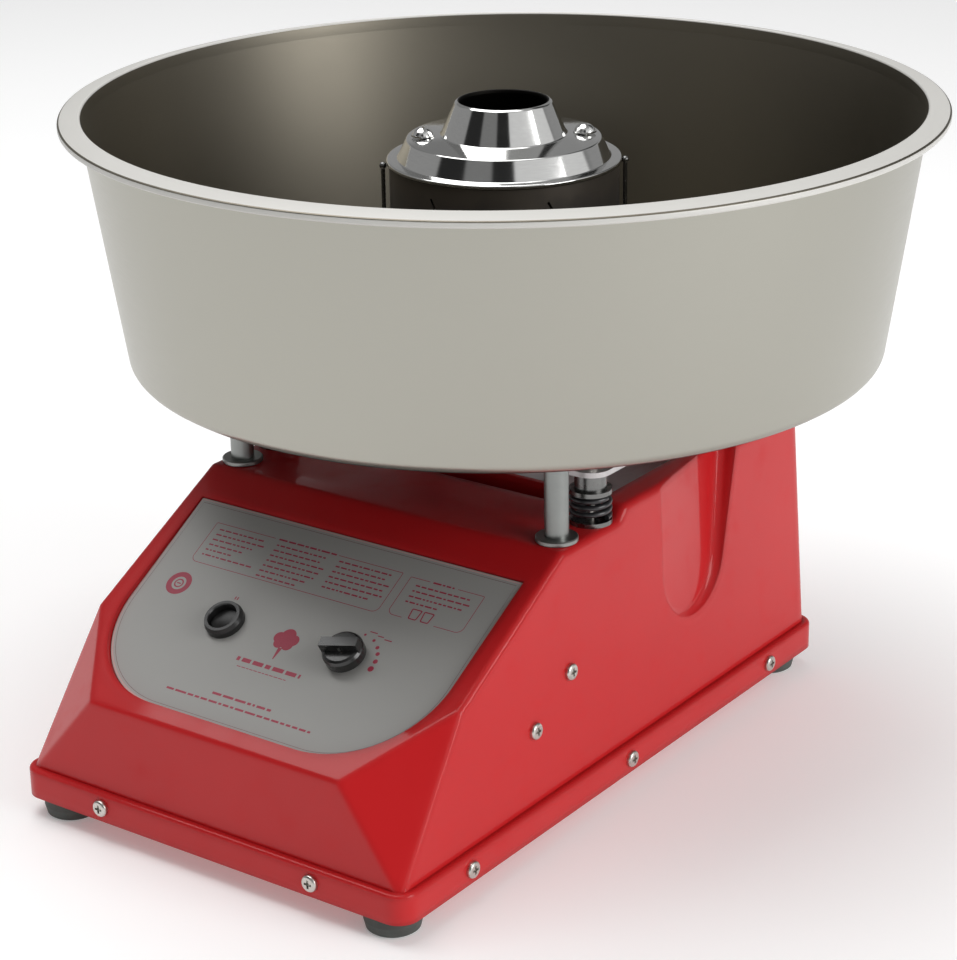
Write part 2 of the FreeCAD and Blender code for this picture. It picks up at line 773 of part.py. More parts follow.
def makeInsulators():
    """Ceramic combs that hold the heating rings off the base disc."""
    shapes = []
    for k in range(4):
        comb = box(heaterR - 8, heaterR + 1, -4, 4, headBaseZ + 4, 324)
        for z in heaterHeights:
            comb = comb.cut(Part.makeTorus(heaterR, heaterTubeR + seat, V(0, 0, z)))
        comb.rotate(V(0, 0, 0), V(0, 0, 1), 83 + 90 * k)
        shapes.append(max(comb.translated(V(0, spindleY, 0)).Solids, key=lambda s: s.Volume))
    return group(shapes)


def makeSugarCup():
    """Open cone that holds the sugar inside the head."""
    z = headBaseZ + 4
    return turned([(12, z), (34, z), (40, 327), (38.4, 327), (32.6, z + 1.6), (12, z + 1.6)])


def makeCap():
    """Spun cap: flange, lower cone, flat shoulder, upper cone and a rounded lip round the mouth."""
    cap = turned([
        (headR + 1, capFlangeZ), (headR + 1, capFlangeZ + 2.5), (60.8, capFlangeZ + 2.5), (55.8, 344.6),
        (54.8, 345.6), (36.2, 347.0), (35.2, 348.2), (27.6, 365.0), (26.2, capTopZ), (25.2, 365.8),
        (25.0, 364.6), (32.8, 346.0), (34.0, 344.6), (53.4, 343.2), (58.6, capFlangeZ)])
    for angle in rodAngles:
        x, y = polar(capScrewR, angle)
        cap = cap.cut(rod(boltR + seat, x, y, 330, 360))
    return cap


def makeCapScrews():
    """Dome-headed screws down through the cap to the base disc, slotted across the top."""
    shapes = []
    for angle in rodAngles:
        x, y = polar(capScrewR, angle)
        seatZ = 347.6
        head = Part.makeSphere(6.4, V(x, y, seatZ - 2.2)).common(rod(6.0, x, y, seatZ, seatZ + 8))
        slot = box(x - 0.8, x + 0.8, y - 8, y + 8, seatZ + 2.4, seatZ + 8)
        slot.rotate(V(x, y, 0), V(0, 0, 1), 55)
        washer = rod(6.6, x, y, 346.8, seatZ)
        shank = rod(boltR, x, y, headBaseZ, 346.9)
        shapes.append(fused([head.cut(slot), washer, shank]))
    return group(shapes)


def makeRods():
    """Slim side rods that keep the band centred, each with a ball on its upper end."""
    shapes = []
    for angle in rodAngles:
        x, y = polar(rodRingR, angle)
        shapes.append(rod(rodR, x, y, headBaseZ - 2, 330).fuse(Part.makeSphere(2.1, V(x, y, 330))))
    return group(shapes)


# ---- bowl ---------------------------------------------------------------
def bowlProfile():
    """Closed wire of the bowl's sheet section: collar, floor, rounded corner, wall, rim and rolled edge."""
    lean = (bowlTopR - bowlFloorR) / (bowlRimZ - bowlFloorZ)
    t = bowlSheet
    floor, top = bowlFloorZ, bowlRimZ
    wallLow = (bowlFloorR + lean * bowlCornerR, floor + bowlCornerR)
    flat = bowlFloorR - bowlCornerR
    k = bowlCornerR * (1 - math.sqrt(0.5))
    outer = [V(bowlHoleR, 0, floor + bowlCollarHeight), V(bowlHoleR, 0, floor), V(flat, 0, floor)]
    mid = V(flat + bowlCornerR * math.sqrt(0.5), 0, floor + k)
    wallStart = V(wallLow[0], 0, wallLow[1])
    wallEnd = V(bowlTopR, 0, top - 1.6)
    rim = [V(bowlRimR - 2.4, 0, top - 4.2), V(bowlRimR - 2.4, 0, top - 6.4), V(bowlRimR, 0, top - 6.4),
           V(bowlRimR, 0, top - 3.4), V(bowlRimR - 0.8, 0, top - 2.6), V(bowlTopR - 1.4, 0, top)]
    inner = [V(bowlTopR - 2.8, 0, top - 0.8), V(wallLow[0] - t, 0, wallLow[1])]
    innerR = bowlCornerR - t
    midInner = V(flat + innerR * math.sqrt(0.5), 0, floor + t + innerR * (1 - math.sqrt(0.5)))
    flatInner = V(flat, 0, floor + t)
    close = [V(bowlHoleR + t, 0, floor + t), V(bowlHoleR + t, 0, floor + bowlCollarHeight)]
    edges = lines(outer)
    edges.append(Part.Arc(outer[-1], mid, wallStart).toShape())
    edges += lines([wallStart, wallEnd] + rim + inner)
    edges.append(Part.Arc(inner[-1], midInner, flatInner).toShape())
    edges += lines([flatInner] + close + [outer[0]])
    return Part.Wire(edges)


def lines(points):
    return [Part.LineSegment(a, b).toShape() for a, b in zip(points, points[1:])]


def makeBowl():
    bowl = Part.Face(bowlProfile()).revolve(V(0, 0, 0), V(0, 0, 1), 360)
    bowl.translate(V(0, spindleY, 0))
    for x, y, _ in postPlaces():
        bowl = bowl.cut(rod(pegR + 2.0, x, y, bowlFloorZ - 1, bowlFloorZ + 3))
    return bowl


def makeGrommets():
    """Rubber rings in the bowl floor that slip over the posts' pegs."""
    z, t = bowlFloorZ, bowlSheet
    hole = pegR + gap
    return group([turned([(hole, z + gap), (pegR + 2, z + gap), (pegR + 2, z + t), (pegR + 4.5, z + t),
                          (pegR + 4.5, z + t + 1.6), (hole, z + t + 1.6)], x, y) for x, y, _ in postPlaces()])


# ---- controls -----------------------------------------------------------
def makePlate():
    plate = plateOutline(0).extrude(V(0, 0, plateThickness))
    plate.translate(V(0, 0, -plateThickness))
    plate = plate.cut(rod(switchBarrelR + 0.3, -controlX, controlV, -5, 5))
    return onPanel(plate.cut(rod(potBushR + 0.3, controlX, controlV, -5, 5)))


def makeSwitchFrame():
    """Round switch bezel and barrel, with a cup that the rocker tips in."""
    bezel = turned([(0, -22), (switchBarrelR, -22), (switchBarrelR, 0), (11.4, 0), (11.4, 3.5), (10.4, 6.0),
                    (8.6, 6.0), (8.2, 5.2), (8.2, -4.0), (0, -4.0)], -controlX, controlV)
    reach = rockerPinHalf + 0.1
    pinHole = rodAlong(rockerPinR + runGap, (-controlX - reach, controlV, rockerPivot),
                       (-controlX + reach, controlV, rockerPivot))
    return onPanel(bezel.cut(pinHole))


def makeRocker():
    """Disc rocker with a dished face and two pivot pins, tipped to its off side about a level line."""
    disc = rod(rockerR, -controlX, controlV, -1.5, 3.4)
    dish = Part.makeCylinder(26, 30, V(-controlX - 15, controlV, 27.6), V(1, 0, 0))
    pins = rodAlong(rockerPinR, (-controlX - rockerPinHalf, controlV, rockerPivot),
                    (-controlX + rockerPinHalf, controlV, rockerPivot))
    disc = disc.cut(dish).fuse(pins).removeSplitter()
    disc.rotate(V(0, controlV, rockerPivot), V(1, 0, 0), -rockerTilt)
    return onPanel(disc)


def makePotentiometer():
    """Speed control body behind the plate with its threaded bush."""
    floor = -plateThickness - shellWall
    body = fused([rod(8.5, controlX, controlV, floor - 12, floor),
                  rod(potBushR, controlX, controlV, floor, 2.5)])
    body = body.cut(rod(potShaftR + runGap, controlX, controlV, floor - 8, 5))
    return onPanel(body)


def makePotNut():
    nut = hexPrism(5.5, controlX, controlV, 0, 1.8).cut(rod(potBushR, controlX, controlV, -1, 4))
    return onPanel(nut)


def makePotShaft():
    floor = -plateThickness - shellWall
    shaft = rod(potShaftR, controlX, controlV, floor - 8, 12.5)
    shaft = shaft.cut(box(controlX - 4, controlX + 4, controlV + 1.5, controlV + 4, 4, 13))
    shaft.rotate(V(controlX, controlV, 0), V(0, 0, 1), knobRestAngle)
    return onPanel(shaft)


def makeKnob():
    """Skirted knob with a raised pointer bar across its top."""
    low = 2.6 + gap
    body = turned([(0, low), (knobR, low), (knobR, low + 5), (knobR - 0.9, 9.5), (knobR - 2.2, 10.2),
                   (0, 10.2)], controlX, controlV)
    bar = box(controlX - knobR + 0.6, controlX + knobR - 0.6, controlV - 2.9, controlV + 2.9, 6, knobHeight)
    bar = bar.common(rod(knobR - 0.3, controlX, controlV, 0, 20))
    knob = body.fuse(bar).removeSplitter()
    bore = rod(potShaftR, controlX, controlV, 0, 12.5)
    bore = bore.cut(box(controlX - 4, controlX + 4, controlV + 1.5, controlV + 4, 4, 13))
    knob = knob.cut(bore).cut(rod(6.8, controlX, controlV, low - 1, low + 2.4))
    knob.rotate(V(controlX, controlV, 0), V(0, 0, 1), knobRestAngle)
    return onPanel(knob)


# ---- electrics inside ---------------------------------------------------
def makeBracket():
    """Folded bracket across the shell that the side screws hold, carrying the power board."""
    (yUp, zUp), (yLow, zLow) = sideScrews
    wall = 1.5
    reach = shellHalfWidth - shellWall - 0.6
    shapes = []
    for side in (-1, 1):
        outline = Part.makePolygon([
            V(0, yUp + 9, zUp + 9), V(0, yUp + 9, zLow - 12), V(0, yLow - 9, zLow - 12),
            V(0, yLow - 9, zLow + 9), V(0, yUp - 9, zUp + 9), V(0, yUp + 9, zUp + 9)])
        flange = Part.Face(outline).extrude(V(side * wall, 0, 0))
        flange.translate(V(side * (reach - wall - 3.6), 0, 0))
        shapes.append(flange)
    floorX = reach - wall - 3.6
    shapes.append(box(-floorX - wall, floorX + wall, yLow - 9, yUp + 9, zLow - 12, zLow - 12 + wall))
    for x, y in standoffPlaces():
        shapes.append(rod(3.0, x, y, zLow - 12, boardZ + standoffHeight))
    bracket = fused(shapes)
    for at, direction in sideScrewPlaces():
        start = V(*at) - V(*direction) * 14
        bracket = bracket.cut(rodAlong(screwR + seat, tuple(start), at))
    return bracket


def standoffPlaces():
    x, y = boardHalfX - 5, boardHalfY - 5
    return [(side * x, boardMidY + fore * y) for side in (-1, 1) for fore in (-1, 1)]


def makeBoard():
    z = boardZ + standoffHeight
    board = box(-boardHalfX, boardHalfX, boardMidY - boardHalfY, boardMidY + boardHalfY,
                z, z + boardThickness)
    sink = box(-46, -10, boardMidY - 6, boardMidY + 10, z + boardThickness, z + 12)
    for k in range(6):
        sink = sink.cut(box(-44 + k * 6, -41 + k * 6, boardMidY - 7, boardMidY + 11, z + 4, z + 13))
    choke = rod(9, 10, boardMidY, z + boardThickness, z + 10)
    return fused([board, sink, choke])


def makeCapacitor():
    """Motor capacitor lying in the moulded foot that holds it on the tray floor."""
    z = trayBottomZ + trayFloor
    can = rodAlong(15, (-95, -40, z + 16.5), (-95, 40, z + 16.5))
    return can.fuse(box(-108, -82, -8, 8, z, z + 12)).removeSplitter()


def makeGland():
    """Cable gland in the rear wall: flange, barrel and a bore for the supply lead."""
    lean = (glandZ - trayRimZ) * shellDraft
    face = shellRearY - lean + 0.5
    body = fused([rodAlong(glandR, (glandX, face - 16, glandZ), (glandX, face, glandZ)),
                  rodAlong(11, (glandX, face, glandZ), (glandX, face + 5, glandZ)),
                  rodAlong(glandR, (glandX, face + 5, glandZ), (glandX, face + 12, glandZ))])
    return body.cut(rodAlong(glandBoreR, (glandX, face - 20, glandZ), (glandX, face + 20, glandZ)))


def makeGlandNut():
    """Domed clamping nut on the outside and lock nut inside."""
    lean = (glandZ - trayRimZ) * shellDraft
    face = shellRearY - lean + 0.5
    dome = rodAlong(10.5, (glandX, face + 5.2, glandZ), (glandX, face + 18, glandZ))
    dome = dome.makeFillet(3.0, [e for e in dome.Edges if min(v.Point.y for v in e.Vertexes) > face + 17])
    dome = dome.cut(rodAlong(glandR, (glandX, face, glandZ), (glandX, face + 12.02, glandZ)))
    dome = dome.cut(rodAlong(glandBoreR, (glandX, face, glandZ), (glandX, face + 30, glandZ)))
    inner = rodAlong(11, (glandX, face - 8.1, glandZ), (glandX, face - 4.1, glandZ))
    inner = inner.cut(rodAlong(glandR, (glandX, face - 20, glandZ), (glandX, face, glandZ)))
    return group([dome, inner])


def makeWellPlate():
    """Galvanised plate on the well's ledge, with a round opening that the motor hangs through."""
    clear = 0.5
    z = wellFloorZ
    plate = box(-wellHalfWidth + clear, wellHalfWidth - clear, wellFrontY + clear, wellRearY - clear,
                z, z + 1.5)
    plate = plate.cut(rod(motorR + motorClear, 0, spindleY, z - 1, z + 3))
    for x, y in wellScrewPlaces():
        plate = plate.cut(rod(1.5 + seat, x, y, z - 1, z + 3))
    return plate


def wellScrewPlaces():
    x = wellHalfWidth - 4
    return [(sx * x, y) for sx in (-1, 1) for y in (wellFrontY + 8, wellRearY - 8)]


def makeWellScrews():
    screw = panHeadScrew(3.0, 1.8, 1.5, 3.5)
    return group([aimed(screw, (x, y, wellFloorZ + 1.5), (0, 0, 1)) for x, y in wellScrewPlaces()])


# ---- assembly -----------------------------------------------------------
def build():
    wellScrewHoles = group([rod(1.5 + seat, x, y, 130, 149) for x, y in wellScrewPlaces()])
    solids["body_shell"] = makeShell().cut(wellScrewHoles)
    solids["base_tray"] = makeTray()
    for name, (x, y) in zip(("foot_front_left", "foot_front_right", "foot_rear_left", "foot_rear_right"),
                            footPlaces()):
        solids[name] = makeFoot(x, y)
    solids["foot_screws"] = makeFootScrews()
    solids["skirt_screws"] = makeSkirtScrews()
    solids["side_screws"] = makeSideScrews()
    solids["well_plate"] = makeWellPlate()
    solids["well_screws"] = makeWellScrews()
    for name, place in zip(("post_front_left", "post_front_right", "post_rear_left", "post_rear_right"),
                           postPlaces()):
        solids[name] = makePost(*place)
    solids["post_bolts"] = makePostBolts()
    solids["mount_lower_washers"] = makeLowerWashers()
    solids["front_springs"] = makeSprings(-1)
    solids["rear_springs"] = makeSprings(1)
    solids["mount_sleeves"] = makeSleeves()
    solids["mount_bolts"] = makeMountBolts()
    solids["motor_carrier"] = makeCarrier()
    solids["motor_housing"] = makeMotorHousing()
    solids["motor_end_shield"] = makeMotorCover()
    solids["motor_screws"] = makeMotorScrews()
    solids["shaft_bearings"] = group([makeBearing(carrierZ - 8, carrierZ),
                                      makeBearing(motorBottomZ - 3, motorBottomZ + 5)])
    solids["stator_core"] = makeStator()
    solids["stator_windings"] = makeWindings()
    solids["brush_holder"] = makeBrushHolder()
    solids["brushes"] = makeBrushes()
    solids["ring_cover"] = makeCover()
    solids["motor_shaft"] = makeShaft()
    solids["rotor_core"] = makeRotor()
    solids["cooling_fan"] = makeFan()
    solids["ring_sleeve"] = makeRingSleeve()
    solids["slip_rings"] = makeSlipRings()
    solids["head_base"] = makeHeadBase()
    solids["head_nut"] = makeHeadNut()
    solids["sugar_cup"] = makeSugarCup()
    solids["heating_rings"] = makeHeater()
    solids["heater_combs"] = makeInsulators()
    solids["head_band"] = makeBand()
    solids["head_cap"] = makeCap()
    solids["cap_screws"] = makeCapScrews()
    solids["head_rods"] = makeRods()
    solids["bowl"] = makeBowl()
    solids["bowl_grommets"] = makeGrommets()
    solids["control_plate"] = makePlate()
    solids["switch_frame"] = makeSwitchFrame()
    solids["switch_rocker"] = makeRocker()
    solids["speed_control"] = makePotentiometer()
    solids["speed_control_nut"] = makePotNut()
    solids["speed_control_shaft"] = makePotShaft()
    solids["speed_knob"] = makeKnob()
    solids["control_bracket"] = makeBracket()
    solids["power_board"] = makeBoard()
    solids["motor_capacitor"] = makeCapacitor()
    solids["cable_gland"] = makeGland()
    solids["gland_nuts"] = makeGlandNut()


build()
os.makedirs("parts", exist_ok=True)
for name, shape in solids.items():
    shape = shape.translated(V(0, outlineShiftY, 0))
    shape.exportStep("parts/%s.step" % name)
    print(name, "solids", len(shape.Solids), "valid", shape.isValid(), "volume", round(shape.Volume))
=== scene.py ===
import bmesh
import bpy
import math
import numpy as np
from mathutils import Matrix, Vector


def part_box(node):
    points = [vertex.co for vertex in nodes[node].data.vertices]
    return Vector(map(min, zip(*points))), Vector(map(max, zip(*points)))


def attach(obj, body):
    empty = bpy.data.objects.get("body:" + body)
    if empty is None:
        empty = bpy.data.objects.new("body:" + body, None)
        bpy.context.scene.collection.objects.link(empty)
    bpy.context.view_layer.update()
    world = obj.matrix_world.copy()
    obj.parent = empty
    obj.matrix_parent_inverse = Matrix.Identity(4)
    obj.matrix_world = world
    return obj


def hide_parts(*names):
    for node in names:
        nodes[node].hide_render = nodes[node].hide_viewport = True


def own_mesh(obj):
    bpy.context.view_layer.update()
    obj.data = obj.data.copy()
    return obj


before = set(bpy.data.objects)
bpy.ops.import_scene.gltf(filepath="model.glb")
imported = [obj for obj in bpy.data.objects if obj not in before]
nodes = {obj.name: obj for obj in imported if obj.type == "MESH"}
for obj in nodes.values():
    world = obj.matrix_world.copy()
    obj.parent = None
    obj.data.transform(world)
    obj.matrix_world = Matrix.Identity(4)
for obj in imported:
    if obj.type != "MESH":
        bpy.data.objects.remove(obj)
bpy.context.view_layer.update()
mm = 0.001

shaftLow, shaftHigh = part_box("motor_shaft")
axisY = (shaftLow.y + shaftHigh.y) / 2           # the upright spin axis stands at x 0, y axisY
print("frame loaded:", len(nodes), "nodes")


# camera: turned and tilted about the machine, and rolled a little
cameraSet = {
    "place": (0.88268, -1.22219, 0.72383),
    "azimuth": 36.10,
    "elevation": 21.09,
    "roll": -0.98,
    "lens": 103.34,
    "sensor": 36.0,
}


def makeCamera(c):
    a, e, r = (math.radians(c[k]) for k in ("azimuth", "elevation", "roll"))
    level = Vector((math.cos(a), math.sin(a), 0))
    back = Vector((math.sin(a) * math.cos(e), -math.cos(a) * math.cos(e), math.sin(e)))
    upright = back.cross(level)
    right = level * math.cos(r) + upright * math.sin(r)
    up = back.cross(right)
    data = bpy.data.cameras.new("camera")
    data.sensor_fit, data.sensor_width, data.lens = "HORIZONTAL", c["sensor"], c["lens"]
    camera = bpy.data.objects.new("camera", data)
    bpy.context.scene.collection.objects.link(camera)
    turn = Matrix((right, up, back)).transposed().to_4x4()
    camera.matrix_world = Matrix.Translation(c["place"]) @ turn
    bpy.context.scene.camera = camera


makeCamera(cameraSet)


class Sock:
    # one socket of a shader tree; plain arithmetic on it adds Math nodes
    def __init__(self, finish, socket):
        self.finish, self.socket = finish, socket

    def join(self, operation, *others):
        values = {i: v for i, v in enumerate((self,) + others)}
        return self.finish.node("ShaderNodeMath", {"operation": operation}, values)

    def flip(self, operation, other):
        return self.finish.node("ShaderNodeMath", {"operation": operation}, {0: other, 1: self})

    def __add__(self, other):
        return self.join("ADD", other)

    def __radd__(self, other):
        return self.flip("ADD", other)

    def __sub__(self, other):
        return self.join("SUBTRACT", other)

    def __rsub__(self, other):
        return self.flip("SUBTRACT", other)

    def __mul__(self, other):
        return self.join("MULTIPLY", other)

    def __rmul__(self, other):
        return self.flip("MULTIPLY", other)

    def __truediv__(self, other):
        return self.join("DIVIDE", other)

    def __pow__(self, other):
        return self.join("POWER", other)

    def __lt__(self, other):
        return self.join("LESS_THAN", other)

    def __gt__(self, other):
        return self.join("GREATER_THAN", other)

    def sine(self):
        return self.join("SINE")

    def fraction(self):
        return self.join("FRACT")

    def limited(self):
        # held between 0 and 1
        return self.join("MAXIMUM", 0.0).join("MINIMUM", 1.0)


class Finish:
    # one material: a principled shader, and the nodes that drive its sockets
    def __init__(self, name):
        self.material = bpy.data.materials.new(name)
        self.material.use_nodes = True
        self.tree = self.material.node_tree
        self.tree.nodes.clear()
        self.shader = self.tree.nodes.new("ShaderNodeBsdfPrincipled")
        output = self.tree.nodes.new("ShaderNodeOutputMaterial")
        self.tree.links.new(self.shader.outputs[0], output.inputs[0])
        self.place = self.node("ShaderNodeTexCoord", out="Object")

    def put(self, node, values):
        for key, value in values.items():
            socket = node.inputs[key]
            if isinstance(value, Sock):
                self.tree.links.new(value.socket, socket)
            else:
                socket.default_value = value

    def node(self, kind, settings=None, values=None, out=0):
        made = self.tree.nodes.new(kind)
        for key, value in (settings or {}).items():
            if key == "stops":
                ramp = made.color_ramp
                while len(ramp.elements) < len(value):
                    ramp.elements.new(0.5)
                for element, (at, colour) in zip(ramp.elements, value):
                    element.position, element.color = at, colour
            else:
                setattr(made, key, value)
        self.put(made, values or {})
        return Sock(self, made.outputs[out])

    def set(self, **values):
        for key, value in values.items():
            spaced = "".join(" " + c if c.isupper() else c for c in key)
            self.put(self.shader, {spaced.title().replace("I O R", "IOR"): value})
        return self

    def noise(self, scale, detail=2.0, place=None):
        values = {"Vector": place or self.place, "Scale": scale, "Detail": detail}
        return self.node("ShaderNodeTexNoise", {}, values)

    def cells(self, scale):
        # one flat colour for each cell
        return self.node("ShaderNodeTexVoronoi", {}, {"Vector": self.place, "Scale": scale}, "Color")

    def mix(self, factor, first, second):
        # colours, blended by a factor
        return self.node("ShaderNodeMix", {"data_type": "RGBA"},
                         {0: factor, 6: rgba(first), 7: rgba(second)}, 2)

    def bump(self, height, strength, depth=0.0002, rounding=0.0):
        # a fine relief, over edges that are rounded by eye where a rounding is given
        values = {"Strength": strength, "Distance": depth, "Height": height}
        if rounding:
            values["Normal"] = self.node("ShaderNodeBevel", {"samples": 6}, {"Radius": rounding})
        return self.node("ShaderNodeBump", {}, values)

    def axes(self, centre=(0, 0, 0)):
        # x, y and z measured from a centre
        moved = self.node("ShaderNodeVectorMath", {"operation": "SUBTRACT"}, {0: self.place, 1: centre})
        parts = self.tree.nodes.new("ShaderNodeSeparateXYZ")
        self.tree.links.new(moved.socket, parts.inputs[0])
        return [Sock(self, s) for s in parts.outputs]

    def vector(self, x, y, z):
        return self.node("ShaderNodeCombineXYZ", {}, {0: x, 1: y, 2: z})

    def spun(self, centre, along=(1.0, 1.0), sweep=2.0):
        # a place whose first number is radius and height, and whose others only turn slowly round the axis
        x, y, z = self.axes((centre[0], centre[1], 0))
        radius = (x * x + y * y) ** 0.5 + 0.000001
        return self.vector(radius * along[0] + z * along[1], x / radius * sweep, y / radius * sweep)


class Sky(Finish):
    # the world's own node tree, read by direction
    def __init__(self, world):
        world.use_nodes = True
        self.tree = world.node_tree
        self.shader = self.tree.nodes["Background"]
        self.place = self.node("ShaderNodeTexCoord", out="Generated")


def rgba(colour):
    return colour if isinstance(colour, Sock) else (*colour, 1.0)


def near(colour, change):
    return tuple(min(1.0, c * change) for c in colour)


axis = (0.0, axisY)


# finishes: each function makes one material
def glossRed():
    f = Finish("gloss_red")
    deep, lively = (0.50, 0.010, 0.013), (0.58, 0.016, 0.018)
    cloud = f.noise(9.0, 3.0)
    peel = f.noise(420.0, 2.0)
    dust = (f.noise(55.0, 6.0) - 0.55).limited() * 2.0
    return f.set(baseColor=f.mix(cloud, deep, lively), roughness=0.42 + dust * 0.25, specularIORLevel=0.12,
                 coatWeight=0.42 - dust * 0.2, coatRoughness=0.05,
                 normal=f.bump(peel, 0.035, 0.0004, 0.008)).material


def spunSteel(name, colour, rough, grain=0.12, metal=1.0):
    # rolled and spun sheet: fine rings round the axis, faint cloudy wiping marks
    f = Finish(name)
    rings = f.noise(1500.0, 3.0, place=f.spun(axis, sweep=0.01))
    wipes = f.noise(7.0, 4.0, place=f.spun(axis, (0.6, 0.6), 0.35))
    tone = (0.35 + 0.4 * wipes + 0.3 * rings).limited()
    return f.set(baseColor=f.mix(tone, near(colour, 0.93), near(colour, 1.06)), metallic=metal,
                 roughness=rough + (rings - 0.5) * grain + (wipes - 0.5) * 0.10,
                 normal=f.bump(rings, 0.05, 0.0001)).material


def turnedMetal(name, colour, rough, centre, grain=0.10):
    # lathe-turned metal: rings about its own upright axis
    f = Finish(name)
    rings = f.noise(2600.0, 2.0, place=f.spun(centre, sweep=0.004))
    smudge = f.noise(60.0, 4.0)
    tone = (0.3 * smudge + 0.7 * rings).limited()
    return f.set(baseColor=f.mix(tone, near(colour, 0.9), near(colour, 1.08)),
                 metallic=1.0, roughness=rough + (rings - 0.5) * grain + (smudge - 0.5) * 0.08,
                 normal=f.bump(rings, 0.06, 0.0001)).material


def brightMetal(name, colour, rough):
    # plated screws and nuts: fine tumbled marks and a few dull patches
    f = Finish(name)
    marks = f.noise(1800.0, 3.0)
    dull = f.noise(140.0, 3.0)
    return f.set(baseColor=f.mix(dull, near(colour, 0.82), near(colour, 1.1)), metallic=1.0,
                 roughness=rough + (dull - 0.5) * 0.2, normal=f.bump(marks, 0.08, 0.00008)).material


def galvanised(name, dark, light, metal):
    f = Finish(name)
    flake = f.cells(95.0)
    shade = f.node("ShaderNodeSeparateColor", {}, {0: flake})
    return f.set(baseColor=f.mix(shade, dark, light), metallic=metal,
                 roughness=0.34 + shade * 0.14, normal=f.bump(shade, 0.04, 0.0001)).material


def heatDarkSteel():
    f = Finish("heat_dark_steel")
    z = f.axes()[2]
    cloud = f.noise(60.0, 5.0)
    hot = ((z - 0.300) * 40.0 + (cloud - 0.5) * 1.2).limited()
    scale = f.noise(900.0, 3.0)
    return f.set(baseColor=f.mix(hot, (0.10, 0.10, 0.11), (0.17, 0.15, 0.13)), metallic=0.9,
                 roughness=0.36 + cloud * 0.2, normal=f.bump(scale, 0.10, 0.0001)).material


def mouldedPlastic(name, colour, rough, grain=0.15, coat=0.0):
    f = Finish(name)
    spark = f.noise(1600.0, 2.0)
    worn = f.noise(90.0, 4.0)
    return f.set(baseColor=f.mix(worn, near(colour, 0.8), near(colour, 1.3)), coatWeight=coat,
                 coatRoughness=0.12, roughness=rough + (worn - 0.5) * 0.14,
                 normal=f.bump(spark, grain, 0.0001)).material


def rubber(name, colour):
    f = Finish(name)
    grain = f.noise(1100.0, 3.0)
    dust = (f.noise(120.0, 5.0) - 0.45).limited() * 1.6
    return f.set(baseColor=f.mix(dust, colour, near(colour, 1.9)), roughness=0.62 + dust * 0.2,
                 normal=f.bump(grain, 0.25, 0.0002)).material


def labelSilver():
    f = Finish("label_silver")
    fine = f.noise(2400.0, 2.0)
    cloud = f.noise(14.0, 3.0)
    tone = (0.5 * fine + 0.5 * cloud).limited()
    return f.set(baseColor=f.mix(tone, (0.33, 0.325, 0.31), (0.38, 0.375, 0.36)), metallic=0.08,
                 roughness=0.50 + (fine - 0.5) * 0.12, normal=f.bump(fine, 0.05, 0.00008)).material


def labelInk(name, colour):
    f = Finish(name)
    screen = f.noise(1500.0, 2.0)
    return f.set(baseColor=f.mix(screen, near(colour, 0.85), near(colour, 1.2)),
                 roughness=0.40 + screen * 0.15).material


def laminatedSteel():
    f = Finish("laminated_steel")
    z = f.axes()[2]
    sheets = (z * 2000.0).fraction()
    edge = (sheets < 0.25) * 0.6
    stain = f.noise(80.0, 4.0)
    return f.set(baseColor=f.mix((edge + stain * 0.4).limited(), (0.32, 0.32, 0.33), (0.10, 0.10, 0.11)),
                 metallic=0.8, roughness=0.4 + stain * 0.2, normal=f.bump(sheets, 0.15, 0.0001)).material


def windingCopper():
    f = Finish("winding_copper")
    strands = f.node("ShaderNodeTexWave", {"wave_type": "BANDS", "bands_direction": "Z"},
                     {"Vector": f.place, "Scale": 160.0, "Distortion": 0.6, "Detail": 1.0}, 1)
    return f.set(baseColor=f.mix(strands, (0.22, 0.06, 0.015), (0.62, 0.24, 0.08)), metallic=0.7,
                 roughness=0.35, normal=f.bump(strands, 0.4, 0.0003)).material


def paintedCasing():
    f = Finish("motor_enamel")
    orange = f.noise(700.0, 3.0)
    dust = f.noise(45.0, 5.0)
    return f.set(baseColor=f.mix(dust, (0.50, 0.47, 0.47), (0.58, 0.55, 0.55)), roughness=0.38 + dust * 0.2,
                 coatWeight=0.3, coatRoughness=0.2, normal=f.bump(orange, 0.12, 0.0003)).material


def circuitBoard():
    f = Finish("circuit_board")
    x, y = f.axes()[:2]
    tracks = ((x * 520.0).fraction() < 0.32) * ((y * 90.0).sine() > -0.4)
    copper = f.noise(60.0, 2.0)
    mask = (tracks * (copper > 0.48)).limited()
    return f.set(baseColor=f.mix(mask, (0.012, 0.10, 0.035), (0.04, 0.22, 0.09)), roughness=0.32 + mask * 0.1,
                 normal=f.bump(mask, 0.3, 0.0001)).material


def ceramic():
    f = Finish("ceramic_white")
    speck = f.noise(700.0, 4.0)
    soot = (f.noise(50.0, 4.0) - 0.5).limited() * 1.5
    return f.set(baseColor=f.mix(soot, (0.74, 0.70, 0.62), (0.36, 0.30, 0.24)), roughness=0.65 + speck * 0.15,
                 normal=f.bump(speck, 0.2, 0.0002)).material


def floorPaint():
    f = Finish("studio_floor")
    mottle = f.noise(3.0, 3.0)
    return f.set(baseColor=f.mix(mottle, (0.86, 0.86, 0.86), (0.88, 0.88, 0.88)), roughness=0.8,
                 specularIORLevel=0.1, emissionColor=(1.0, 1.0, 1.0, 1.0), emissionStrength=0.22).material


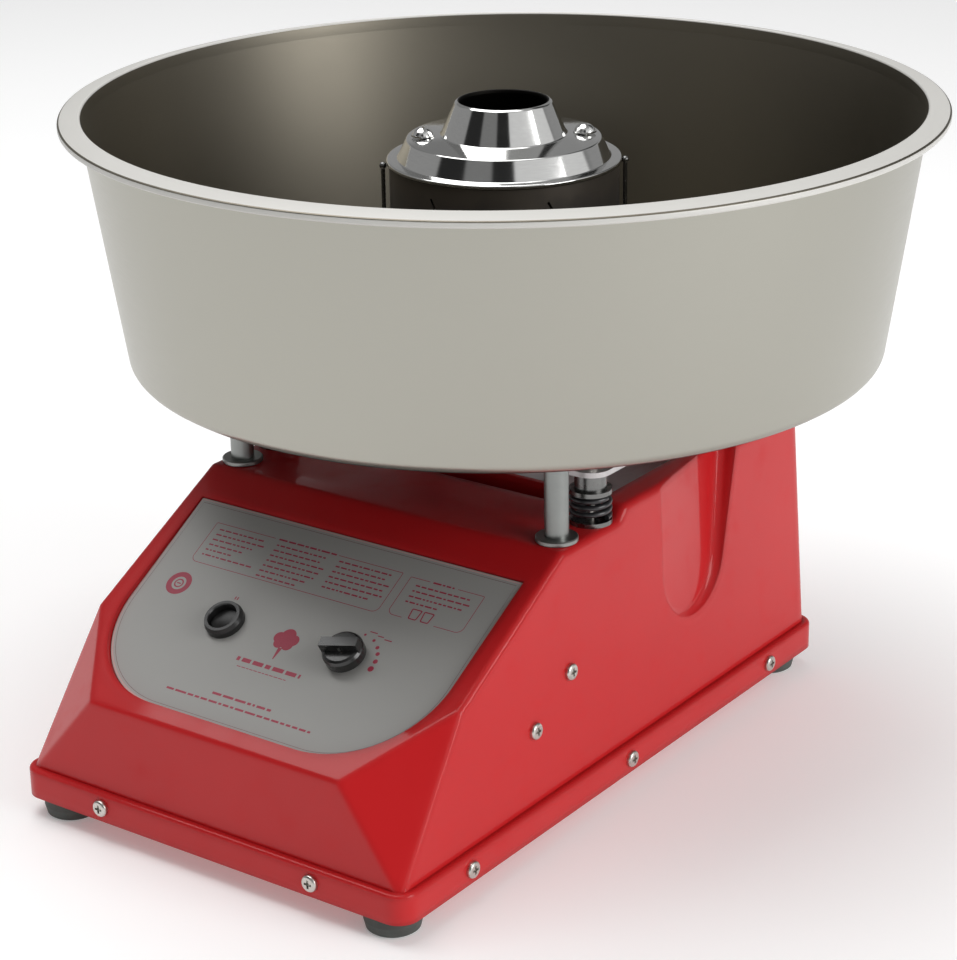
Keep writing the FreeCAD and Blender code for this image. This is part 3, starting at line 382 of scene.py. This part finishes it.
# grid surfaces
def gridFaces(rows, columns, wrapRows, wrapColumns):
    # quads between neighbouring rows and columns of a grid of points
    r = np.arange(rows if wrapRows else rows - 1)
    c = np.arange(columns if wrapColumns else columns - 1)
    r, c = np.meshgrid(r, c, indexing="ij")
    nextR, nextC = (r + 1) % rows, (c + 1) % columns
    corners = (r * columns + c, nextR * columns + c, nextR * columns + nextC, r * columns + nextC)
    return np.stack(corners, -1).reshape(-1, 4)


def meshPiece(name, points, faces, body, finish, replaced=(), sharp=30.0):
    # a new piece in its place: doubles merged, faces turned outwards, smooth up to the sharp angle
    mesh = bpy.data.meshes.new(name)
    mesh.from_pydata(np.asarray(points).reshape(-1, 3).tolist(), [], [list(face) for face in faces])
    work = bmesh.new()
    work.from_mesh(mesh)
    bmesh.ops.remove_doubles(work, verts=work.verts, dist=1e-7)
    bmesh.ops.recalc_face_normals(work, faces=work.faces)
    work.to_mesh(mesh)
    work.free()
    mesh.shade_smooth()
    mesh.set_sharp_from_angle(angle=math.radians(sharp))
    piece = bpy.data.objects.new(name, mesh)
    bpy.context.scene.collection.objects.link(piece)
    mesh.materials.append(finish)
    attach(piece, body)
    if replaced:
        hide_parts(*replaced)
    return piece


def joined(parts):
    points, faces, start = [], [], 0
    for partPoints, partFaces in parts:
        points.append(partPoints)
        faces += [[i + start for i in face] for face in partFaces]
        start += len(partPoints)
    return np.concatenate(points), faces


def roundedOutline(corners, steps=6):
    # (across, up, radius) corners in mm; a corner with a radius becomes an arc that touches both its sides
    made, count = [], len(corners)
    for i, (a, b, radius) in enumerate(corners):
        here = np.array((a, b), float)
        if radius == 0:
            made.append(here[None])
            continue
        before = np.array(corners[i - 1][:2], float) - here
        after = np.array(corners[(i + 1) % count][:2], float) - here
        before, after = before / np.linalg.norm(before), after / np.linalg.norm(after)
        half = math.acos(float(np.clip(before @ after, -1, 1))) / 2
        middle = before + after
        middle = here + middle / np.linalg.norm(middle) * radius / math.sin(half)
        start, end = here + before * radius / math.tan(half), here + after * radius / math.tan(half)
        share = np.linspace(0, 1, steps + 1)[:, None]
        chord = (start - middle) * (1 - share) + (end - middle) * share
        made.append(middle + chord / np.linalg.norm(chord, axis=1)[:, None] * radius)
    return np.concatenate(made) * mm


def turnedPoints(outline, centre, around):
    # every outline point (radius, height) carried once round the upright axis through centre
    turn = np.linspace(0, 2 * np.pi, around, endpoint=False)
    x = centre[0] + np.outer(np.cos(turn), outline[:, 0])
    y = centre[1] + np.outer(np.sin(turn), outline[:, 0])
    return np.stack([x, y, np.broadcast_to(outline[:, 1], x.shape)], -1)


def turnedPiece(name, corners, centre, around, body, finish, replaced=(), sharp=30.0):
    outline = roundedOutline(corners)
    points = turnedPoints(outline, centre, around)
    faces = gridFaces(around, len(outline), True, True)
    return meshPiece(name, points, faces, body, finish, replaced, sharp)


def facesOf(mesh):
    # face normals, face centres from the spin axis, and how far each face looks away from that axis
    count = len(mesh.polygons)
    normals, centres = np.empty(count * 3), np.empty(count * 3)
    mesh.polygons.foreach_get("normal", normals)
    mesh.polygons.foreach_get("center", centres)
    normals, centres = normals.reshape(-1, 3), centres.reshape(-1, 3) - (0, axisY, 0)
    return normals, centres, (normals[:, :2] * centres[:, :2]).sum(1)


# the bowl: collar, floor, rounded corner, leaning wall, sloped rim and rolled bead
bowlSet = {
    "around": 288,
    "sheet": 1.2,
    "floorR": 217.6,
    "topR": 238.7,
    "rimR": 249.85,
    "cornerR": 7.0,
    "holeR": 80.0,
    "collar": 26.0,
    "bead": 3.2,
}


def makeBowl(b):
    low, high = (v.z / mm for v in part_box("bowl"))
    t = b["sheet"]
    lean = (b["topR"] - b["floorR"]) / (high - low)
    edge = b["bead"]
    beadLow = high - 2 * edge
    corners = [
        (b["holeR"], low + b["collar"], 0.5), (b["holeR"], low, 1.5), (b["floorR"], low, b["cornerR"]),
        (b["topR"] - lean * 2, high - 2.0, 1.5),
        (b["rimR"] - edge, beadLow + 2.0, 0.5), (b["rimR"] - edge, beadLow, 0.8),
        (b["rimR"], beadLow, 1.2), (b["rimR"], high - 2.6, 1.4), (b["topR"] - 1.6, high, 1.2),
        (b["topR"] - t - lean * 8, high - 8.0, 6.0), (b["floorR"] - t, low + t, b["cornerR"] - t),
        (b["holeR"] + t, low + t, 0.8), (b["holeR"] + t, low + b["collar"], 0.5)]
    bowl = turnedPiece("bowl_skin", corners, axis, b["around"], "bowl", finishes["bowl_outside"],
                       ["bowl"], 40.0)
    for part in ("bowl_inside_painted_shade", "bowl_under_painted_shade", "bowl_rim_painted_sheen"):
        bowl.data.materials.append(finishes[part])
    normals, centres, outward = facesOf(bowl.data)
    inside = ((outward < 0) | (normals[:, 2] > 0.5)) & (centres[:, 2] < (high - 1.5) * mm)
    under = (normals[:, 2] < -0.8) & (centres[:, 2] < (low + 2.0) * mm)
    rim = ~inside & (centres[:, 2] > (high - 7.0) * mm) & (np.hypot(*centres[:, :2].T) > (b["topR"] - 2) * mm)
    # inside faces take a darker copy of the steel as painted shade and dark reflection, the underside a
    # darker copy as painted shade, and the rim a lighter copy as painted sheen
    bowl.data.polygons.foreach_set("material_index", (inside + 2 * under + 3 * rim).astype(np.int32))


finishes = {
    "red": glossRed(),
    "bowl_outside": spunSteel("bowl_outside", (0.40, 0.39, 0.345), 0.34),
    # lighter, less metallic copy of the bowl steel: painted sheen standing in for the rim's highlight
    "bowl_rim_painted_sheen": spunSteel("bowl_rim_painted_sheen", (0.62, 0.61, 0.58), 0.50, 0.12, 0.20),
    # darker copy of the bowl steel: painted shade and dark reflection inside the bowl
    "bowl_inside_painted_shade": spunSteel("bowl_inside_painted_shade", (0.20, 0.183, 0.148), 0.42, 0.08),
    # darkest copy of the bowl steel: painted shade on the bowl's underside
    "bowl_under_painted_shade": spunSteel("bowl_under_painted_shade", (0.12, 0.11, 0.10), 0.45, 0.10),
    "zinc": galvanised("zinc_sheet", (0.60, 0.57, 0.57), (0.70, 0.67, 0.67), 0.4),
    # near-black copy of the cap's aluminium: painted shade for the cap's throat and underside and for the
    # sugar cup inside the head
    "mouth": turnedMetal("aluminium_painted_shade", (0.012, 0.011, 0.010), 0.55, axis, 0.05),
    "head": turnedMetal("polished_aluminium", (0.70, 0.70, 0.69), 0.09, axis, 0.03),
    "band": heatDarkSteel(),
    "galvanised": galvanised("galvanised_sheet", (0.42, 0.43, 0.44), (0.56, 0.58, 0.60), 0.9),
    "screw": brightMetal("screw_plating", (0.62, 0.60, 0.56), 0.28),
    "polished_screw": brightMetal("polished_screw", (0.78, 0.78, 0.77), 0.12),
    "post": brightMetal("post_aluminium", (0.30, 0.31, 0.30), 0.38),
    "sleeve": brightMetal("turned_steel", (0.20, 0.20, 0.195), 0.26),
    "drawn_steel": spunSteel("cover_steel", (0.48, 0.48, 0.47), 0.30),
    "spring": mouldedPlastic("spring_black", (0.016, 0.016, 0.018), 0.32, 0.05, 0.4),
    "rubber": rubber("foot_rubber", (0.060, 0.068, 0.062)),
    "black_rubber": rubber("grommet_rubber", (0.018, 0.018, 0.018)),
    "black": mouldedPlastic("black_plastic", (0.012, 0.012, 0.012), 0.34, 0.10),
    "knob": mouldedPlastic("knob_black", (0.010, 0.010, 0.010), 0.26, 0.08, 0.3),
    "phenolic": mouldedPlastic("brown_phenolic", (0.11, 0.045, 0.018), 0.42, 0.15),
    "carbon": mouldedPlastic("pressed_carbon", (0.020, 0.020, 0.021), 0.55, 0.30),
    "capacitor": mouldedPlastic("capacitor_can", (0.030, 0.031, 0.034), 0.4, 0.12),
    "brass": brightMetal("turned_brass", (0.72, 0.50, 0.20), 0.26),
    "core": laminatedSteel(),
    "copper": windingCopper(),
    "enamel": paintedCasing(),
    "board": circuitBoard(),
    "ceramic": ceramic(),
    "element": mouldedPlastic("element_sheath", (0.10, 0.075, 0.060), 0.40, 0.25),
    "label": labelSilver(),
    "ink": labelInk("label_ink", (0.34, 0.022, 0.055)),
    "hairline": labelInk("label_hairline", (0.20, 0.13, 0.13)),
    # pinkish band along the plate's edge: painted reflection of the red body in the rounded edge
    "edge": labelInk("label_edge_painted_reflection", (0.52, 0.36, 0.34)),
}

wears = {
    "red": ["body_shell", "base_tray"],
    "rubber": ["foot_front_left", "foot_front_right", "foot_rear_left", "foot_rear_right"],
    "black_rubber": ["bowl_grommets"],
    "screw": ["foot_screws", "skirt_screws", "side_screws", "well_screws", "post_bolts", "mount_bolts",
              "motor_screws", "speed_control_nut", "head_nut"],
    "galvanised": ["control_bracket"],
    "zinc": ["well_plate", "motor_carrier"],
    "post": ["post_front_left", "post_front_right", "post_rear_left", "post_rear_right", "speed_control",
             "speed_control_shaft"],
    "sleeve": ["mount_lower_washers", "mount_sleeves", "head_rods", "shaft_bearings", "motor_shaft"],
    "spring": ["front_springs", "rear_springs"],
    "enamel": ["motor_housing", "motor_end_shield"],
    "core": ["stator_core", "rotor_core"],
    "copper": ["stator_windings"],
    "phenolic": ["brush_holder", "ring_sleeve"],
    "carbon": ["brushes"],
    "brass": ["slip_rings"],
    "drawn_steel": ["ring_cover"],
    "head": ["head_base", "head_cap"],
    # the sugar cup takes the near-black painted shade
    "mouth": ["sugar_cup"],
    "polished_screw": ["cap_screws"],
    "band": ["head_band"],
    "element": ["heating_rings"],
    "ceramic": ["heater_combs"],
    "bowl_outside": ["bowl"],
    "label": ["control_plate"],
    "black": ["switch_frame", "switch_rocker", "cooling_fan", "cable_gland", "gland_nuts"],
    "knob": ["speed_knob"],
    "capacitor": ["motor_capacitor"],
    "board": ["power_board"],
}
for finish, members in wears.items():
    for member in members:
        nodes[member].data.materials.clear()
        nodes[member].data.materials.append(finishes[finish])
print("finishes on", sum(len(v) for v in wears.values()), "nodes")

# the spun cap: flange, lower cone, shoulder, upper cone and lip, with its underside and throat in near-black
# painted shade
capSet = {
    "around": 160,
    "outside": [(67.0, 331.5, 0.5), (67.0, 334.0, 0.9), (60.8, 334.0, 0.8), (55.4, 345.4, 1.4),
                (36.0, 347.0, 1.4), (27.6, 365.6, 1.6), (26.0, 366.5, 0.7), (25.2, 366.0, 0.4)],
    "throat": [(25.1, 364.4, 0.3), (32.9, 345.8, 0.8), (53.4, 343.4, 0.6), (58.4, 331.7, 0.4)],
}


def makeCap(c):
    cap = turnedPiece("cap_skin", c["outside"] + c["throat"], axis, c["around"], "spinner", finishes["head"],
                      ["head_cap"])
    cap.data.materials.append(finishes["mouth"])
    normals, centres, outward = facesOf(cap.data)
    # faces that look in towards the axis or downwards take the near-black finish as painted shade
    shadeFaces = (outward < -0.0002) | (normals[:, 2] < -0.3)
    cap.data.polygons.foreach_set("material_index", shadeFaces.astype(np.int32))


# the mounts' coil springs: round wire on a helix
springSet = {
    "acrossX": 110.5,
    "alongY": 78.0,
    "outerR": 12.0,
    "wireR": 1.6,
    "turns": 3,
    "steps": 150,
    "around": 14,
    "sink": 2.5,
}


def makeSprings(node, fore, c):
    low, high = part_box(node)
    meanR = (c["outerR"] - c["wireR"]) * mm
    wireR = c["wireR"] * mm
    rise = high.z - low.z - 2 * wireR
    share = np.linspace(0, 1, c["steps"])
    turn = share * c["turns"] * 2 * np.pi
    outward = np.stack([np.cos(turn), np.sin(turn), 0 * turn], -1)
    pitch = rise / (c["turns"] * 2 * np.pi)
    forward = np.stack([-np.sin(turn) * meanR, np.cos(turn) * meanR, 0 * turn + pitch], -1)
    forward /= np.linalg.norm(forward, axis=1)[:, None]
    upward = np.cross(outward, forward)
    path = outward * meanR + np.stack([0 * share, 0 * share, low.z + wireR + share * rise], -1)
    a = np.linspace(0, 2 * np.pi, c["around"], endpoint=False)
    tube = (path[:, None] + outward[:, None] * np.cos(a)[None, :, None] * wireR
            + upward[:, None] * np.sin(a)[None, :, None] * wireR).reshape(-1, 3)
    faces = gridFaces(c["steps"], c["around"], False, True).tolist()
    ring = list(range(c["around"]))
    faces += [ring[::-1], [i + len(tube) - c["around"] for i in ring]]
    places = [(side * c["acrossX"] * mm, axisY + fore * c["alongY"] * mm, 0) for side in (-1, 1)]
    points, faces = joined([(tube + place, faces) for place in places])
    coils = meshPiece(node + "_coils", points, faces, "base", finishes["spring"],
                      [node], 50.0)
    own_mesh(coils)


makeSprings("front_springs", -1, springSet)
makeSprings("rear_springs", 1, springSet)
makeCap(capSet)
makeBowl(bowlSet)
print("bowl made")


# the label plate's own frame: u across, v up the slope from the plate's upper edge, n out of the face
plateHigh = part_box("control_plate")[1]
labelSet = {
    "halfWidth": 112.0,
    "depth": 136.0,
    "cornerR": 62.0,
    "thickness": 1.0,
    "slope": 30.2,
    "raise": 0.02,                # the print's thickness above the face
    "lineHeight": 0.95,
    "linePitch": 3.7,
    "knobAt": (42.5, -74.0),
    "dotRing": 17.0,
    "badgeAt": (-88.0, -58.5),
}
slope = math.radians(labelSet["slope"])
alongSlope = np.array((0.0, math.cos(slope), math.sin(slope)))
outOfFace = np.array((0.0, -math.sin(slope), math.cos(slope)))
# the face's upper edge stands a plate's thickness out of the underside's edge
plateOrigin = np.array((0.0, plateHigh.y - labelSet["thickness"] * mm * math.sin(slope), plateHigh.z))


def onPlate(u, v, n):
    # points in the plate's frame, in mm, carried to the machine
    u, v, n = np.broadcast_arrays(u, v, n)
    return (plateOrigin + (u[..., None] * (1.0, 0.0, 0.0) + v[..., None] * alongSlope
                           + n[..., None] * outOfFace) * mm)


def slab(outlineU, outlineV, high):
    # a flat mark with the given outlines, one a row: points and faces of closed prisms
    outlineU, outlineV = np.atleast_2d(outlineU), np.atleast_2d(outlineV)
    count, sides = outlineU.shape
    low = onPlate(outlineU, outlineV, np.full_like(outlineU, -0.005))
    top = onPlate(outlineU, outlineV, np.full_like(outlineU, high))
    points = np.stack([low, top], 1).reshape(-1, 3)
    start = np.arange(count)[:, None] * 2 * sides
    ring = np.arange(sides)
    after = (ring + 1) % sides
    walls = np.stack([ring, after, after + sides, ring + sides], -1)[None] + start[..., None]
    tops = start + ring[None] + sides
    bottoms = start + ring[None, ::-1]
    return points, [*walls.reshape(-1, 4).tolist(), *tops.tolist(), *bottoms.tolist()]


def ribbon(path, width, high, closed):
    # a line of even width along a path of (u, v) points, as a flat closed strip
    path = np.asarray(path, float)
    if closed:
        along = np.roll(path, -1, 0) - np.roll(path, 1, 0)
    else:
        along = np.gradient(path, axis=0)
    along /= np.linalg.norm(along, axis=1)[:, None]
    side = np.stack([-along[:, 1], along[:, 0]], 1) * width / 2
    left, right = path + side, path - side
    rows = [onPlate(p[:, 0], p[:, 1], np.full(len(p), n)) for p, n in
            ((left, -0.005), (right, -0.005), (right, high), (left, high))]
    points = np.stack(rows, 1).reshape(-1, 3)
    faces = gridFaces(len(path), 4, closed, True).tolist()
    if not closed:
        last = (len(path) - 1) * 4
        faces += [[0, 1, 2, 3], [last + 3, last + 2, last + 1, last]]
    return points, faces


def dash(u, v, length, height):
    # level bars: centre lines start at u, v
    u, v, length = (np.atleast_1d(a).astype(float) for a in (u, v, length))
    u, v, length = np.broadcast_arrays(u, v, length)
    half = height / 2
    return (np.stack([u, u + length, u + length, u], 1),
            np.stack([v - half, v - half, v + half, v + half], 1))


def disc(u, v, radius, sides=28):
    turn = np.linspace(0, 2 * np.pi, sides, endpoint=False)
    return u + radius * np.cos(turn), v + radius * np.sin(turn)


def words(draw, left, right, v, height, longest=4.6, gap=1.0):
    # a row of short bars of uneven length that stands for a line of small print
    marks, at = [], left
    while at < right - 1.2:
        length = min(draw.uniform(1.3, longest), right - at)
        marks.append((at, length))
        at += length + gap
    starts, lengths = np.array(marks).T
    return slab(*dash(starts, v, lengths, height), labelSet["raise"])


def panelBox(left, right, top, bottom, radius, width=0.35, openings=()):
    # a rounded frame line; the openings are stretches of its top and bottom where print interrupts it
    outline = roundedOutline([(left, bottom, radius), (right, bottom, radius), (right, top, 0.6),
                              (left, top, 0.6)]) / mm
    dense = []
    for a, b in zip(outline, np.roll(outline, -1, 0)):
        steps = max(1, int(np.linalg.norm(b - a) / 1.5))
        dense.append(a + (b - a) * np.linspace(0, 1, steps, endpoint=False)[:, None])
    dense = np.concatenate(dense)
    keep = np.ones(len(dense), bool)
    for low, high, line in openings:
        keep &= ~((dense[:, 0] > low) & (dense[:, 0] < high) & (abs(dense[:, 1] - line) < 0.3))
    if keep.all():
        return [ribbon(dense, width, labelSet["raise"], True)]
    first = int(np.argmin(keep))
    dense, keep = np.roll(dense, -first, 0), np.roll(keep, -first)
    runs = np.split(np.arange(len(dense)), np.flatnonzero(np.diff(keep)) + 1)
    kept = [run for run in runs if keep[run[0]] and len(run) > 1]
    return [ribbon(dense[run], width, labelSet["raise"], False) for run in kept]


def textColumns(draw):
    parts = []
    pitch, tall = labelSet["linePitch"], labelSet["lineHeight"]
    # each column's left and right ends, first line, count of lines, and how far each line runs over
    columns = [
        (-87.0, -54.0, -17.5, 6, (0, 3, -4, -9, -14, 3)),
        (-45.0, -9.0, -17.5, 7, (0, -3, 2, 3, 0, -2, -8)),
        (-1.0, 35.0, -17.0, 6, (2, 0, 3, 1, 3, -4)),
        (53.0, 90.0, -19.0, 4, (0, 2, -2, -16))]
    for left, right, top, rows, ragged in columns:
        for row in range(rows):
            parts.append(words(draw, left, right + ragged[row], top - row * pitch, tall))
    return parts


def centreMark():
    # a puff of floss on a stick: five overlapping round lobes and a long thin wedge
    lobes = [(0.0, -71.0, 4.6), (-4.6, -73.4, 3.6), (4.6, -73.2, 3.7), (-2.6, -76.6, 3.6), (3.0, -76.8, 3.5)]
    parts = [slab(*disc(u, v, r), labelSet["raise"] + 0.002 * i) for i, (u, v, r) in enumerate(lobes)]
    parts.append(slab([-1.3, -0.3, 0.3, 1.3], [-79.6, -87.5, -87.5, -79.6], labelSet["raise"]))
    return parts


def speedScale():
    # dots that grow round the knob, from slow to fast, and a line above them
    parts, (knobU, knobV), dotR, high = [], labelSet["knobAt"], labelSet["dotRing"], labelSet["raise"]
    for angle, size in ((87, 0.75), (62, 0.95), (42, 1.15), (27, 1.25), (10, 1.45), (-7, 1.8)):
        a = math.radians(angle)
        parts.append(slab(*disc(knobU + dotR * math.cos(a), knobV + dotR * math.sin(a), size), high))
    parts.append(slab(*dash([45.0, 51.0, 56.0], [-54.3, -55.6, -56.7], [5.0, 4.0, 5.0], 0.6), high))
    return parts


def badge():
    # a round mark with a ring and a short level bar in it
    turn = np.linspace(0.5, 2 * np.pi + 0.5, 40, endpoint=False)
    middle, high = np.array(labelSet["badgeAt"]), labelSet["raise"]
    around = np.stack([np.cos(turn), np.sin(turn)], 1)
    parts = []
    for radius, width in ((6.2, 3.4), (2.6, 0.9)):
        parts.append(ribbon(middle + radius * around, width, high, True))
    parts.append(slab(*dash(middle[0] - 1.4, middle[1], 2.8, 0.8), high))
    return parts


def cupIcon():
    # two small tumblers side by side, drawn in outline
    parts = []
    for u in (63.5, 71.5):
        outline = roundedOutline([(u - 2.4, -40.0, 0.8), (u + 2.4, -40.0, 0.8), (u + 3.1, -33.6, 0.5),
                                  (u - 3.1, -33.6, 0.5)]) / mm
        parts.append(ribbon(outline, 0.7, labelSet["raise"], True))
    return parts


def makePrint():
    draw = np.random.default_rng(7)
    parts = textColumns(draw)
    parts += panelBox(-91.5, 41.0, -13.5, -42.0, 4.0, openings=[(-48, -4, -13.5)])
    parts += panelBox(47.0, 96.0, -14.5, -40.5, 4.0, openings=[(60, 77, -14.5), (58, 77, -40.5)])
    parts += [words(draw, -46.0, -5.0, -13.5, 1.1, 7.0), words(draw, 62.0, 76.0, -14.5, 1.0, 6.0)]
    parts += [words(draw, -21.0, 23.0, -93.0, 2.6, 8.5, 1.6), words(draw, -18.0, 16.0, -97.6, 0.5, 3.0, 0.6)]
    parts += [words(draw, -21.0, 20.0, -117.5, 1.5, 8.0, 1.3)]
    parts += [words(draw, -50.0, 50.0, -122.7, 1.3, 8.0, 1.2)]
    parts += [slab(*dash([-47.4, -45.8], [-57.6, -57.6], [0.8, 0.8], 2.0), labelSet["raise"])]
    parts += centreMark() + speedScale() + badge() + cupIcon()
    points, faces = joined(parts)
    meshPiece("label_print", points, faces, "base", finishes["ink"])


def plateEdgeLine(inset, width, name, finish, high):
    l = labelSet
    w, low, r = l["halfWidth"] - inset, -l["depth"] + inset, l["cornerR"] - inset
    outline = roundedOutline([(-w, -inset, 0), (-w, low, r), (w, low, r), (w, -inset, 0)], 24) / mm
    points, faces = ribbon(outline, width, high, True)
    meshPiece(name, points, faces, "base", finish)


makePrint()
plateEdgeLine(2.7, 0.35, "label_hairline", finishes["hairline"], labelSet["raise"])
# the pinkish edge band is a painted reflection of the red body
plateEdgeLine(0.8, 1.0, "label_edge_painted_reflection", finishes["edge"], labelSet["raise"] * 0.7)
print("label printed")


# studio: floor, world and soft lights
studioSet = {
    "floorHalf": 9.0,
    "worldStrength": 0.62,
    "turn": 36.1,                 # the panels are counted from this side, in degrees
    "softness": 3.0,
    # panels of the ring of soft boxes, each from an angle to the next, and their brightness
    "panels": [(-180, 0.35), (-126, 0.50), (-84, 0.04), (-50, 0.35), (-16, 0.04), (12, 1.20), (106, 0.40),
               (125, 0.06), (150, 0.45)],
    "ringLow": 0.28,              # sine of the elevation where the ring begins, and where it ends
    "ringHigh": 0.80,
    "edge": 30.0,                 # how sharply the ring's lower and upper edges end
    "roof": 0.70,
    "low": 0.50,
}
lampSet = {
    "overhead": {"place": (-0.7, 0.1, 2.6), "size": 2.2, "power": 50.0, "aim": (0, 0, 0.1)},
    "right": {"place": (2.8, 0.1, 1.1), "size": 1.6, "power": 38.0, "aim": (0, 0, 0.15)},
}


def makeStudio(s):
    h = s["floorHalf"]
    mesh = bpy.data.meshes.new("floor")
    mesh.from_pydata([(-h, -h, 0), (h, -h, 0), (h, h, 0), (-h, h, 0)], [], [(0, 1, 2, 3)])
    mesh.materials.append(floorPaint())
    floor = bpy.data.objects.new("floor", mesh)
    bpy.context.scene.collection.objects.link(floor)
    world = bpy.data.worlds.new("studio")
    sky = Sky(world)
    x, y, z = sky.axes()
    a = math.radians(s["turn"])
    front = x * math.sin(a) - y * math.cos(a)
    side = x * math.cos(a) + y * math.sin(a)
    angle = side.join("ARCTAN2", front) * (0.5 / math.pi) + 0.5
    stops, soft = [], s["softness"] / 360
    for i, (start, bright) in enumerate(s["panels"]):
        at = start / 360 + 0.5
        if i:
            stops.append((at - soft / 2, rgba((stops[-1][1][0],) * 3)))
        stops.append((at + soft / 2 * (i > 0), rgba((bright,) * 3)))
    ring = sky.node("ShaderNodeValToRGB", {"stops": stops}, {0: angle})
    edge = s["edge"]
    inRing = ((z - s["ringLow"]) * edge).limited() * ((s["ringHigh"] - z) * edge).limited()
    above = ((z - s["ringLow"] * 2) * edge).limited()
    plain = sky.mix(above, (s["low"],) * 3, (s["roof"],) * 3)
    sky.put(sky.shader, {"Color": sky.mix(inRing, plain, ring), "Strength": s["worldStrength"]})
    bpy.context.scene.world = world
    bpy.context.scene.view_settings.view_transform = "Standard"


def makeLamps(lamps):
    for name, l in lamps.items():
        data = bpy.data.lights.new(name, "AREA")
        data.shape, data.size, data.energy = "SQUARE", l["size"], l["power"]
        lamp = bpy.data.objects.new(name, data)
        bpy.context.scene.collection.objects.link(lamp)
        aim = Vector(l["aim"]) - Vector(l["place"])
        lamp.matrix_world = Matrix.Translation(l["place"]) @ aim.to_track_quat("-Z", "Y").to_matrix().to_4x4()


makeStudio(studioSet)
makeLamps(lampSet)
print("studio lit")
